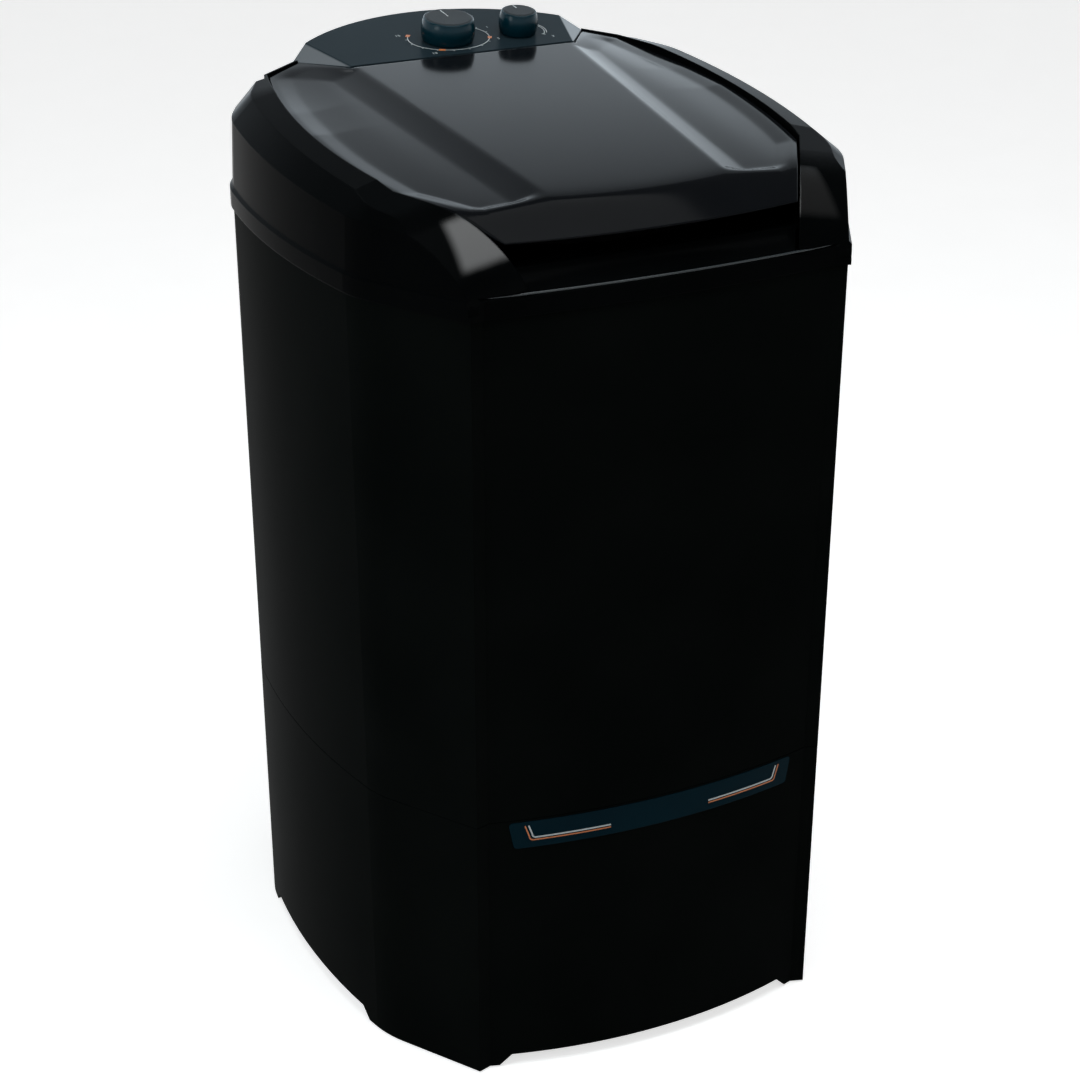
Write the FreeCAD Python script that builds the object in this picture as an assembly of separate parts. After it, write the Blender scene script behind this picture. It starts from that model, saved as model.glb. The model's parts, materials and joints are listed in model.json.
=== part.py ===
import FreeCAD, Part
import math
import os

V = FreeCAD.Vector

# Driving dimensions, in millimetres. X is across the front, -Y is the front, +Z is up.
# Plan of the body at the floor and at the band, as seen from above
base_corner_x = 197.0
base_corner_y = 277.0
base_front_y = 303.0
base_edge_x = 257.5
base_edge_y = 174.0
base_side_x = 276.0
top_corner_x = 203.0
top_corner_y = 288.0
top_front_y = 294.0
top_edge_x = 268.0
top_edge_y = 172.0
top_side_x = 284.0
corner_step_width = 14.0
corner_step_depth = 4.5
edge_round = 20.0

# Heights of the stacked mouldings
seam_z = 297.0
seam_groove = 1.2
band_bottom = 834.0
band_height = 19.0
band_bevel = 3.0
rim_z = 850.0
wall = 3.0
fit_gap = 0.3
band_top = band_bottom + band_height + band_bevel

# Feet and arches of the base skirt
foot_clear = 1.5
arch_height = 14.0
arch_slant = 14.0
front_foot_width = 36.0
side_foot_start = 126.0
pad_radius = 20.0
pad_bevel = 3.0
pad_inset_x = 22.0
pad_inset_y = 36.0
web_z = 12.0
post_radius = 15.0
web_radius = 44.0
flange_width = 18.0

# Badge strip on the front of the base skirt
badge_top = 294.0
badge_height = 30.0
badge_half_width = 165.0
badge_slant = 6.0
badge_corner = 4.0
badge_depth = 1.0
badge_proud = 0.6

# Top cover: crease heights at mid depth, insets from the plan and rises towards the back
wall_top_z = 917.0
wall_top_inset = 3.0
wall_top_tilt = 0.05
crease_z = 937.0
crease_inset = 24.0
crease_tilt = 0.072
crown_z = 945.6
crown_inset = 60.0
crown_tilt = 0.076
cover_drop = 0.6
dive_start_y = 190.0
dive_start_z = 932.0
dive_run = 70.0
dive_bow = 13.7
dive_drop = 0.2
dive_x = 165.0
dive_inner_x = 127.0
dive_end_y = 289.0
well_floor = 872.0
collar_depth = 24.0
deck_z = 900.0
arm_end_y = 203.0
ledge_width = 10.0
grip_back_y = 258.0
grip_top_z = 890.0
grip_ledge_y = 240.0
grip_bow = 10.0
grip_clear = 64.0

# Lid: outline at its front lower edge, raised middle and side pockets
lid_front_z = 898.0
lid_corner_x = 157.0
lid_corner_y = 264.0
lid_front_y = 280.0
lid_corner_lean = 1.0
lid_front_lean = 0.65
lid_kink_x = 220.0
lid_kink_y = 156.0
lid_side_x = 236.0
lid_ear_x = 206.0
lid_ear_y = 212.0
ear_tip_y = 222.0
lid_gap = 2.5
lid_wall = 3.0
skirt_tilt = 0.075
lid_block_rise = 46.0
plateau_front_half = 91.0
plateau_back_half = 133.0
plateau_rise = 0.0929
crown_stations = (-290.0, -130.0, 20.0, 90.0, 160.0, 240.0)
crown_slopes = (0.08, 0.09, 0.10, 0.13, 0.18, 0.24)
pocket_depth = 7.0
pocket_run = 20.0
pocket_rim = 6.0
pocket_rim_run = 18.0
pocket_front = 40.0
pocket_front_run = 13.0
pocket_turn_y = 158.0
pocket_over = 5.0
pocket_lift = 1.0
pocket_floor_share = 1.5
pocket_steps = 7
bumper_radius = 5.0
bumper_x = 110.0
bumper_y = 246.0

# Lid hinge
hinge_y = 154.0
hinge_z = 952.5
hinge_pin_radius = 3.0
hinge_x = 94.0
bracket_width = 12.0
knuckle_width = 10.0
knuckle_radius = 7.0
knuckle_gap = 2.0
nose_radius = 17.0
nose_gap = 0.8
running_gap = 0.05

# Console
console_front_half = 131.0
console_front_y = 169.8
console_front_z = 965.0
console_tilt = 8.0
console_side_x = 172.0
console_side_y = 230.8
console_side_z = 961.0
console_heel_x = 152.0
console_heel_y = 245.0
console_back_y = 301.0
console_wall = 3.0
console_front_wall = 11.0
console_facet_trim = 0.6
shaft_hole_gap = 1.0

# Knobs on the console
timer_y = 212.0
timer_radius = 28.5
timer_height = 25.0
selector_x = 83.0
selector_y = 210.0
selector_radius = 20.5
selector_height = 25.0
knob_lift = 0.8
knob_bulge = 2.0
knob_waist = 0.45
shoulder_inset = 1.5
shoulder_drop = 0.6
cap_inset = 3.0
cap_depth = 2.0
cap_dome = 0.8
cap_bevel = 2.0
boss_radius = 6.0
timer_shaft_depth = 16.0
switch_shaft_depth = 14.0
knob_shaft_radius = 3.0
knob_bore_depth = 14.0
timer_body_radius = 26.0
timer_body_height = 34.0
switch_body_size = 32.0
switch_body_height = 26.0
unit_chamfer = 4.0
bore_spare = 1.0

# Wash tub and pulsator: the tub takes its radii from the cabinet's side
tub_side_gap = 38.0
tub_flange_gap = 15.0
tub_taper = 24.0
tub_wall = 3.0
mouth_lap = 18.0
tub_top_radius = top_side_x - tub_side_gap
tub_foot_radius = tub_top_radius - tub_taper
tub_flange_radius = top_side_x - tub_flange_gap
mouth_radius = tub_top_radius - mouth_lap
tub_bottom_z = 335.0
tub_round = 34.0
tub_rib_count = 6
tub_rib_radius = 9.0
tub_rib_foot = 51.0
pulsator_radius = 165.0
pulsator_gap = 5.0
pulsator_rim = 8.0
pulsator_dome = 34.0
dish_rise = 6.8
pulsator_hub_radius = 34.0
vane_count = 4
vane_height = 26.0
vane_width = 15.0
vane_edge = 2.0
vane_peak = 15.6
vane_root = 8.7
vane_peak_share = 0.6
shaft_radius = 8.0
shaft_clear = 2.0

# Drive under the tub
chassis_z = 212.0
chassis_thick = 3.0
chassis_flange = 14.0
housing_radius = 22.0
housing_flange_radius = 58.0
housing_flange_thick = 5.0
housing_foot_radius = 45.0
housing_edge = 6.5
neck_radius = 17.0
bush_radius = 13.0
bush_length = 24.0
seal_height = 8.0
driven_pulley_radius = 96.0
motor_pulley_radius = 24.0
pulley_width = 16.0
pulley_top_z = 200.0
groove_depth = 8.0
groove_flare = 1.6
pulley_hub = 8.0
pulley_rim = 6.0
web_room = 4.0
web_bar = 5.0
web_holes = 6
nut_height = 8.0
nut_radius = 14.4
mount_radius = 9.0
lug_reach = 27.0
clip_height = 3.0
clip_wall = 3.0
belt_height = 9.0
belt_thick = 6.0
motor_y = 168.0
motor_radius = 60.0
motor_height = 84.0
motor_step = 10.0
motor_shaft_sink = 20.0
motor_hole_gap = 6.0
motor_mount_height = 8.0
motor_foot_half = 56.0
motor_shaft_radius = 6.0
capacitor_radius = 19.0
capacitor_height = 68.0
can_bevel = 3.0
capacitor_x = 110.0
capacitor_y = 110.0

# Drain, cord gland, service cover and screws
drain_angle = 30.0
drain_seat = 2.0
drain_z = 250.0
drain_radius = 15.0
drain_bore = 12.0
drain_bend = 34.0
drain_flange = 23.0
drain_reach = 16.0
drain_distance = tub_foot_radius - tub_round - drain_flange - drain_seat
drain_x = drain_distance * math.cos(math.radians(drain_angle))
drain_y = drain_distance * math.sin(math.radians(drain_angle))
spigot_radius = 13.5
spigot_length = 12.0
gland_x = 150.0
gland_z = 60.0
gland_flange_thick = 4.0
gland_radius = 9.0
gland_bore = 4.5
gland_flange = 13.0
cover_half_width = 120.0
cover_low_z = 70.0
cover_high_z = 222.0
cover_overlap = 12.0
cover_thick = 2.5
screw_radius = 2.0
screw_head_radius = 4.0
screw_head_height = 2.5
screw_length = 10.0


# Shared shapes
def box(x0, y0, z0, x1, y1, z1):
    return Part.makeBox(x1 - x0, y1 - y0, z1 - z0, V(x0, y0, z0))


def disc(radius, z0, z1, x=0.0, y=0.0):
    return Part.makeCylinder(radius, z1 - z0, V(x, y, z0))


def ring(outer, inner, z0, z1, x=0.0, y=0.0):
    return disc(outer, z0, z1, x, y).cut(disc(inner, z0, z1, x, y))


def polygon(points):
    return Part.Wire(Part.makePolygon(points + points[:1]).Edges)


def prism(wire, height):
    return Part.Face(wire).extrude(V(0, 0, height))


def turned(profile, x=0.0, y=0.0):
    """Solid of revolution about a vertical axis from (radius, height) points."""
    face = Part.Face(polygon([V(r, 0, z) for r, z in profile]))
    solid = face.revolve(V(0, 0, 0), V(0, 0, 1), 360)
    solid.translate(V(x, y, 0))
    return solid


def side_profile(points, x0, x1):
    """Prism across the machine from (y, z) points."""
    return Part.Face(polygon([V(x0, y, z) for y, z in points])).extrude(V(x1 - x0, 0, 0))


def mirrored(shape):
    return shape.mirror(V(0, 0, 0), V(1, 0, 0))


def both_sides(shape):
    return Part.makeCompound([shape, mirrored(shape)])


def joined(shapes):
    return shapes[0].fuse(shapes[1:]).removeSplitter()


def unit(vector):
    return V(vector).normalize()


def outward(direction):
    return V(direction.y, -direction.x, 0)


def turned_to(shape, point, direction):
    """Moves a shape modelled along +Z at the origin so that +Z follows the direction from the point."""
    turned_shape = shape.copy()
    turned_shape.Placement = FreeCAD.Placement(point, FreeCAD.Rotation(V(0, 0, 1), direction))
    return turned_shape


def screw(point, direction, length=screw_length):
    """Pan-head screw: the head stands out from the point along the direction, the shank runs back."""
    head = disc(screw_head_radius, 0, screw_head_height)
    return turned_to(head.fuse(disc(screw_radius, -length, 0)), point, direction)


def group(shapes):
    return Part.makeCompound(shapes)


# Outlines seen from above, counter-clockwise: each entry is a point and the middle of its arc to the next
def outline_wire(entries, z, grow=0.0, tilt=0.0):
    """Closed wire of lines and arcs at height z, moved outwards by grow, on a plane tilted along Y."""
    count = len(entries)
    starts = []
    ends = []
    middles = []
    for index, (point, middle) in enumerate(entries):
        after = entries[(index + 1) % count][0]
        if middle is None:
            starts.append(outward(unit(after - point)))
            ends.append(starts[-1])
            middles.append(None)
            continue
        centre = Part.Arc(point, middle, after).toShape().Curve.Center
        side = 1 if outward(after - point).dot(middle - point) > 0 else -1
        starts.append(unit(point - centre) * side)
        ends.append(unit(after - centre) * side)
        middles.append(middle + unit(middle - centre) * side * grow)
    moved = []
    for index, (point, middle) in enumerate(entries):
        before = ends[index - 1]
        after = starts[index]
        moved.append(point + (before + after) * (grow / (1 + before.dot(after))))

    def put(point):
        return V(point.x, point.y, z + tilt * point.y)

    edges = []
    for index in range(count):
        first = put(moved[index])
        last = put(moved[(index + 1) % count])
        if middles[index] is None:
            edges.append(Part.LineSegment(first, last).toShape())
        else:
            edges.append(Part.Arc(first, put(middles[index]), last).toShape())
    return Part.Wire(edges)


# Plan of the body: bowed front, back and sides, flat corner facets with a soft rear edge
def plan_entries(z, step):
    share = z / band_bottom

    def at(low, high):
        return low + (high - low) * share

    corner = V(at(base_corner_x, top_corner_x), -at(base_corner_y, top_corner_y), 0)
    edge = V(at(base_edge_x, top_edge_x), -at(base_edge_y, top_edge_y), 0)
    front = V(0, -at(base_front_y, top_front_y), 0)
    side = V(at(base_side_x, top_side_x), 0, 0)
    facet = unit(edge - corner)
    lean = 2 * math.atan((side.x - edge.x) / -edge.y)
    flank = V(math.sin(lean), math.cos(lean), 0)
    start = edge - facet * edge_round
    end = edge + flank * edge_round
    radius = edge_round / math.tan(facet.getAngle(flank) / 2)
    centre = start - outward(facet) * radius
    middle = centre + unit(edge - centre) * radius

    def turn(point, across, along):
        return V(point.x * across, point.y * along, 0)

    def quarter(across, along):
        points = [turn(p, across, along) for p in (corner, start, end)]
        return points, turn(middle, across, along)

    entries = []
    for across, along in ((1, 1), (1, -1), (-1, -1), (-1, 1)):
        points, arc_middle = quarter(across, along)
        inner = turn(corner - V(corner_step_width, -corner_step_depth, 0), across, along)
        if across == along:
            entries += [(inner, None)] if step else []
            entries += [(points[0], None), (points[1], arc_middle), (points[2], turn(side, across, 1))]
        else:
            entries += [(points[2], arc_middle), (points[1], None)]
            entries += [(points[0], None)] if step else []
            entries.append((inner if step else points[0], turn(front, 1, along)))
    return entries


def plan_wire(z, inset=0.0, step=True, tilt=0.0):
    return outline_wire(plan_entries(z, step), z, -inset, tilt)


def body_loft(z0, z1, inset=0.0, step=True):
    return Part.makeLoft([plan_wire(z0, inset, step), plan_wire(z1, inset, step)], True, True)


def corner_points(z, inset_x, inset_y):
    x = base_corner_x + (top_corner_x - base_corner_x) * z / band_bottom - inset_x
    y = base_corner_y + (top_corner_y - base_corner_y) * z / band_bottom - inset_y
    return [(sx * x, sy * y) for sx in (-1, 1) for sy in (-1, 1)]


# Base skirt: drafted wall, inner flange at the seam, foot webs and chassis posts
def make_base_skirt():
    groove_z = seam_z - seam_groove
    bevel = Part.makeLoft([plan_wire(groove_z), plan_wire(seam_z, seam_groove)], True, True)
    shell = body_loft(foot_clear, groove_z).fuse(bevel).cut(body_loft(foot_clear, seam_z - wall, wall))
    opening = body_loft(seam_z - 2 * wall, seam_z + wall, flange_width)
    shell = shell.cut(opening)
    pieces = [shell]
    for x, y in corner_points(0, pad_inset_x, pad_inset_y):
        web = disc(web_radius, web_z, web_z + wall, x, y)
        pieces.append(web.common(body_loft(foot_clear, seam_z, wall / 2)))
        pieces.append(disc(post_radius, web_z, chassis_z, x, y))
    skirt = joined(pieces)
    for x, y in corner_points(0, pad_inset_x, pad_inset_y):
        skirt = skirt.cut(disc(screw_radius, chassis_z - screw_length, chassis_z, x, y))
    reach = base_front_y + base_side_x
    half = base_corner_x - front_foot_width
    wide = half + arch_slant
    front_arch = polygon([V(-wide, -reach, 0), V(wide, -reach, 0),
                          V(half, -reach, arch_height), V(-half, -reach, arch_height)])
    start = side_foot_start
    long = side_foot_start + arch_slant
    side_arch = polygon([V(-reach, -long, 0), V(-reach, long, 0),
                         V(-reach, start, arch_height), V(-reach, -start, arch_height)])
    skirt = skirt.cut(Part.Face(front_arch).extrude(V(0, 2 * reach, 0)))
    skirt = skirt.cut(Part.Face(side_arch).extrude(V(2 * reach, 0, 0)))
    skirt = skirt.cut(badge_slab(badge_depth))
    ledge = body_loft(foot_clear, seam_z - wall, wall / 2)
    ledge = ledge.cut(body_loft(foot_clear, seam_z - wall, cover_thick + wall))
    ledge = ledge.common(side_window(-cover_overlap)).cut(side_window(cover_overlap))
    rebate = body_loft(foot_clear, seam_z, -wall).cut(body_loft(foot_clear, seam_z, cover_thick))
    skirt = skirt.cut(side_window(cover_overlap)).fuse(ledge)
    skirt = skirt.cut(rebate.common(side_window(-fit_gap))).removeSplitter()
    for x, z in rear_cover_points():
        skirt = skirt.cut(turned_to(disc(screw_radius, -screw_length, screw_length), *rear_wall(x, z)))
    skirt = skirt.cut(Part.makeCylinder(drain_radius + fit_gap, reach, V(-drain_x, 0, drain_z), V(0, 1, 0)))
    skirt = skirt.cut(turned_to(disc(gland_radius, -reach, reach), *rear_wall(gland_x, gland_z)))
    for x, y in flange_points():
        skirt = skirt.cut(disc(screw_radius, seam_z - 2 * wall, seam_z + wall, x, y))
    return skirt


def flange_points():
    x = base_corner_x - flange_width
    inset = wall + (flange_width - wall) / 2
    front = body_depth(0.0, seam_z) - inset
    side = base_side_x + (top_side_x - base_side_x) * seam_z / band_bottom - inset
    near = body_depth(x / 2, seam_z) - inset
    corners = [(sx * x / 2, sy * near) for sx in (-1, 1) for sy in (-1, 1)]
    return [(0, -front), (0, front), (side, 0), (-side, 0)] + corners


def body_depth(x, z):
    """Distance of the bowed front from the middle plane at offset x."""
    inner, arc_middle = plan_entries(z, True)[-1]
    other = V(-inner.x, inner.y, 0)
    arc = Part.Arc(inner, arc_middle, other).toShape().Curve
    return math.sqrt(arc.Radius ** 2 - x ** 2) - arc.Center.y


def rear_wall(x, z):
    """Point on the bowed back wall, and the direction square to it in plan."""
    inner, arc_middle = plan_entries(z, True)[-1]
    centre = Part.Arc(inner, arc_middle, V(-inner.x, inner.y, 0)).toShape().Curve.Center
    point = V(x, body_depth(x, z), z)
    return point, unit(V(x + centre.x, point.y + centre.y, 0))


def badge_outline():
    low = badge_top - badge_height
    half = badge_half_width
    y = -base_front_y - base_side_x
    wire = polygon([V(-half, y, badge_top), V(half, y, badge_top),
                    V(half - badge_slant, y, low), V(-half + badge_slant, y, low)])
    face = Part.Face(wire).extrude(V(0, base_side_x + base_front_y, 0))
    edges = [e for e in face.Edges if abs(e.Vertexes[0].Y - e.Vertexes[-1].Y) > fit_gap]
    return face.makeFillet(badge_corner, edges)


def badge_slab(depth):
    shell = body_loft(foot_clear, seam_z + wall, -badge_proud)
    return shell.cut(body_loft(foot_clear, seam_z + wall, depth)).common(badge_outline())


def side_window(overlap):
    """Service opening in the back wall, smaller than its cover by the overlap."""
    half = cover_half_width - overlap
    return box(-half, 0, cover_low_z + overlap, half, base_front_y + base_side_x, cover_high_z - overlap)


def make_rear_cover():
    slab = body_loft(foot_clear, seam_z).cut(body_loft(foot_clear, seam_z, cover_thick))
    cover = slab.common(side_window(0.0))
    for x, z in rear_cover_points():
        cover = cover.cut(turned_to(disc(screw_radius, -screw_length, screw_length), *rear_wall(x, z)))
    return cover


def rear_cover_points():
    x = cover_half_width - cover_overlap / 2
    heights = (cover_low_z + cover_overlap / 2, cover_high_z - cover_overlap / 2)
    return [(sx * x, z) for sx in (-1, 1) for z in heights]


# Cabinet shell: drafted wall, foot flange on the seam and a rim plate that carries the tub
def make_cabinet_shell():
    shell = body_loft(seam_z, rim_z).cut(body_loft(seam_z + wall, rim_z - wall, wall))
    shell = shell.cut(body_loft(seam_z - wall, seam_z + 2 * wall, flange_width))
    shell = shell.cut(disc(tub_top_radius + 2 * fit_gap, rim_z - 2 * wall, rim_z + wall))
    for x, y in flange_points():
        shell = shell.cut(disc(screw_radius, seam_z - wall, seam_z + 2 * wall, x, y))
    return shell


# Top cover: everything is a solid block and the same block moved in by the wall
def cover_block(inset):
    levels = [(wall_top_z, wall_top_inset, wall_top_tilt), (crease_z, crease_inset, crease_tilt),
              (crown_z, crown_inset, crown_tilt)]
    wires = [plan_wire(band_top - inset, inset, False)]
    for z, step_in, tilt in levels:
        wires.append(plan_wire(z - inset * cover_drop, step_in + inset, False, tilt))
    return Part.makeLoft(wires, True, True)


def dive_cut(back):
    """Space in front of the arms: a straight run, then a bowed line down to the band, sloping outwards."""
    x0 = dive_inner_x
    lift = (dive_x - x0) * dive_drop
    start = V(x0, -dive_start_y + back, dive_start_z + lift - back)
    end = V(x0, -dive_end_y + back, band_top + lift - back)
    chord = unit(end - start)
    bow = V(0, chord.z, -chord.y)
    middle = (start + end) * 0.5 + bow * dive_bow
    half_turn = 2 * math.atan(2 * dive_bow / (end - start).Length)
    run_start = start - (chord * math.cos(half_turn) + bow * math.sin(half_turn)) * dive_run
    far_y = -2 * base_front_y
    low = V(x0, end.y, band_top - back)
    high = V(x0, run_start.y, run_start.z + base_front_y)
    edges = [Part.Arc(start, middle, end).toShape()]
    outline = [end, low, V(x0, far_y, low.z), V(x0, far_y, high.z), high, run_start, start]
    edges += [Part.LineSegment(a, b).toShape() for a, b in zip(outline[:-1], outline[1:])]
    face = Part.Face(Part.Wire(edges))
    return both_sides(face.extrude(V(base_side_x, 0, -base_side_x * dive_drop)))


def chamfer_line(y, gap):
    """X of the lid's front chamfer at depth y, moved out by gap."""
    slope = (lid_kink_x - lid_corner_x) / (lid_corner_y - lid_kink_y)
    return lid_corner_x + (y + lid_corner_y) * slope + gap * math.sqrt(1 + slope ** 2)


def front_cut(back):
    """Space in front of and under the lid's front edge: the scooped grip."""
    gap = lid_gap - back
    far = -base_front_y - grip_clear
    near = -grip_ledge_y
    wire = polygon([V(-chamfer_line(near, gap), near, 0), V(-chamfer_line(far, gap), far, 0),
                    V(chamfer_line(far, gap), far, 0), V(chamfer_line(near, gap), near, 0)])
    plan = prism(wire, 2 * crown_z)
    low = V(0, -top_front_y + wall + back, band_top - back)
    top = V(0, -grip_back_y + back, grip_top_z - back)
    chord = unit(top - low)
    sag = V(0, chord.z, -chord.y) * grip_bow
    middle = (low + top) * 0.5 + sag
    edges = [Part.Arc(low, middle, top).toShape()]
    inner = near + back
    high = 2 * crown_z
    outline = [top, V(0, inner, top.z), V(0, inner, high), V(0, far, high), V(0, far, low.z), low]
    edges += [Part.LineSegment(a, b).toShape() for a, b in zip(outline[:-1], outline[1:])]
    face = Part.Face(Part.Wire(edges))
    face.translate(V(-base_side_x, 0, 0))
    return face.extrude(V(2 * base_side_x, 0, 0)).common(plan)


def console_wire(z, grow=0.0):
    right = [V(console_front_half, console_front_y, 0), V(console_side_x, console_side_y, 0),
             V(console_heel_x, console_heel_y, 0)]
    entries = [(p, None) for p in right[:-1]]
    entries.append((right[-1], V(0, console_back_y, 0)))
    entries += [(V(-p.x, p.y, 0), None) for p in reversed(right)]
    return outline_wire(entries, z, grow)


def lid_wire(z, grow=0.0):
    """Outline of the lid at height z; the front leans back as it rises."""
    rise = z - lid_front_z
    corner_y = -lid_corner_y + rise * lid_corner_lean
    slope = (console_side_x - console_front_half) / (console_side_y - console_front_y)
    inner_x = console_front_half + lid_gap * (math.sqrt(1 + slope ** 2) - slope)
    tip_x = inner_x + (ear_tip_y - console_front_y + lid_gap) * slope
    corner = V(chamfer_line(corner_y, 0.0), corner_y, 0)
    kink = V(lid_kink_x, -lid_kink_y, 0)
    ear = V(lid_ear_x, lid_ear_y, 0)
    right = [(corner, None), (kink, V(lid_side_x, 0, 0)), (ear, None),
             (V(tip_x, ear_tip_y, 0), None), (V(inner_x, console_front_y - lid_gap, 0), None)]
    front = V(0, -lid_front_y + rise * lid_front_lean, 0)
    left = [(V(-p.x, p.y, 0), None) for p, middle in reversed(right)]
    left[2] = (left[2][0], V(-lid_side_x, 0, 0))
    left[4] = (left[4][0], front)
    return outline_wire(right + left, z, grow)


def deck_cut(down):
    """Space over the rear deck: behind the arms and under the console."""
    z = deck_z - down
    behind = box(-2 * base_side_x, arm_end_y - down, z, 2 * base_side_x, 2 * base_front_y, 2 * crown_z)
    under = console_wire(z, fit_gap + down)
    return behind.fuse(prism(under, 2 * crown_z - z))


def well_cut(out):
    wire = lid_wire(lid_front_z, lid_gap + out)
    wire.translate(V(0, 0, well_floor - out - lid_front_z))
    return prism(wire, crown_z)


def make_top_cover():
    band = body_loft(band_bottom, band_bottom + band_height, -wall)
    bevel_low = plan_wire(band_bottom + band_height, -wall)
    bevel = Part.makeLoft([bevel_low, plan_wire(band_top)], True, True)
    block = band.fuse([bevel, cover_block(0.0)])
    rim = well_cut(wall).cut(prism(console_wire(0, fit_gap), 2 * crown_z))
    for cut in (well_cut(0.0), front_cut(0.0), dive_cut(0.0), deck_cut(0.0).cut(rim)):
        block = block.cut(cut)
    hollow = cover_block(wall)
    for keep in (well_cut(wall), front_cut(wall), dive_cut(wall), deck_cut(wall)):
        hollow = hollow.cut(keep)
    block = block.cut(hollow)
    block = block.cut(body_loft(band_bottom - wall, rim_z, -fit_gap))
    block = block.cut(body_loft(rim_z - wall, band_top - wall, ledge_width))
    collar = disc(mouth_radius + wall, well_floor - collar_depth, well_floor)
    cover = joined([block, collar.common(disc(mouth_radius + wall, 0, well_floor))])
    for x, y in console_boss_points():
        cover = cover.cut(disc(screw_radius, deck_z - 2 * wall, deck_z + wall, x, y))
    return cover.cut(disc(mouth_radius, 0, 2 * crown_z).common(well_shadow()))


def well_shadow():
    side = base_side_x
    return box(-side, -grip_ledge_y + wall, 0, side, console_front_y - wall, 2 * crown_z)


# Lid: outline leaning at the front, flat raised middle, sides falling away, two pockets
def crown_surface(down):
    """Solid under the lid's top surface, lowered by down."""
    sections = []
    out = base_side_x
    for y in crown_stations:
        half = plateau_half(y)
        top = plateau_z(y) - down
        low = crown_height(out, y) - down
        base = well_floor - down
        right = [V(half, y, top), V(out, y, low), V(out, y, base)]
        sections.append(polygon(right + [V(-p.x, y, p.z) for p in reversed(right)]))
    return Part.makeLoft(sections, True, True)


def crown_height(x, y):
    """Height of the lid's top at half width x; the fall beside the plateau grows towards the back."""
    slope = crown_slopes[0]
    for index in range(len(crown_stations) - 1):
        first, last = crown_stations[index], crown_stations[index + 1]
        if first <= y <= last:
            share = (y - first) / (last - first)
            slope = crown_slopes[index] + (crown_slopes[index + 1] - crown_slopes[index]) * share
    return plateau_z(y) - max(0.0, x - plateau_half(y)) * slope


def plateau_half(y):
    share = (y - crown_stations[0]) / (crown_stations[-1] - crown_stations[0])
    return plateau_front_half + (plateau_back_half - plateau_front_half) * share


def plateau_z(y):
    return console_front_z + (y - console_front_y) * plateau_rise


def lid_edge(y):
    """Half width of the lid's outline at depth y."""
    kink = V(lid_kink_x, -lid_kink_y, 0)
    arc = Part.Arc(kink, V(lid_side_x, 0, 0), V(lid_ear_x, lid_ear_y, 0)).toShape().Curve
    bowed = arc.Center.x + math.sqrt(arc.Radius ** 2 - (y - arc.Center.y) ** 2)
    return min(bowed, chamfer_line(y, 0.0))


def pocket_cut(shell):
    """Right-hand pocket: sections across the lid from its front to its rear end, grown by the shell."""
    front_end = -lid_corner_y + pocket_front
    back_end = lid_ear_y
    skew = (console_side_x - console_front_half) / (console_side_y - console_front_y)
    floor_start = front_end + pocket_front_run - shell
    pitch = (pocket_turn_y - floor_start) / pocket_steps
    stations = [(front_end - shell, 0.0)]
    stations += [(floor_start + pitch * index, 1.0) for index in range(pocket_steps + 1)]
    stations += [(back_end - pocket_front_run + shell, 1.0), (back_end + shell, 0.0)]
    sections = []
    for y, share in stations:
        depth = (pocket_depth + pocket_lift) * share - pocket_lift + shell
        lag = max(0.0, y - pocket_turn_y)
        inner = plateau_half(y - lag) + lag * skew - shell
        outer = min(lid_edge(y), lid_edge(back_end)) if lag else lid_edge(y)
        outer += shell - pocket_rim
        spare = min(1.0, (outer - inner) / (pocket_run + pocket_floor_share * pocket_rim_run))
        in_slope = pocket_run * spare / pocket_depth
        out_slope = pocket_rim_run * spare / pocket_depth
        inner_top = inner - in_slope * pocket_over
        outer_top = outer + out_slope * pocket_over
        low_in = inner + in_slope * depth
        low_out = outer - out_slope * depth
        points = [V(inner_top, y, crown_height(inner, y) + pocket_over),
                  V(low_in, y, crown_height(low_in, y) - depth),
                  V(low_out, y, crown_height(low_out, y) - depth),
                  V(outer_top, y, crown_height(outer, y) + pocket_over)]
        sections.append(polygon(points))
    return Part.makeLoft(sections, True, True)


def hinge_cylinder(radius, x0, x1):
    return Part.makeCylinder(radius, x1 - x0, V(x0, hinge_y, hinge_z), V(1, 0, 0))


def knuckle_spans():
    near = bracket_width / 2 + knuckle_gap
    far = near + knuckle_width
    return [(hinge_x - far, hinge_x - near), (hinge_x + near, hinge_x + far)]


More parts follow.
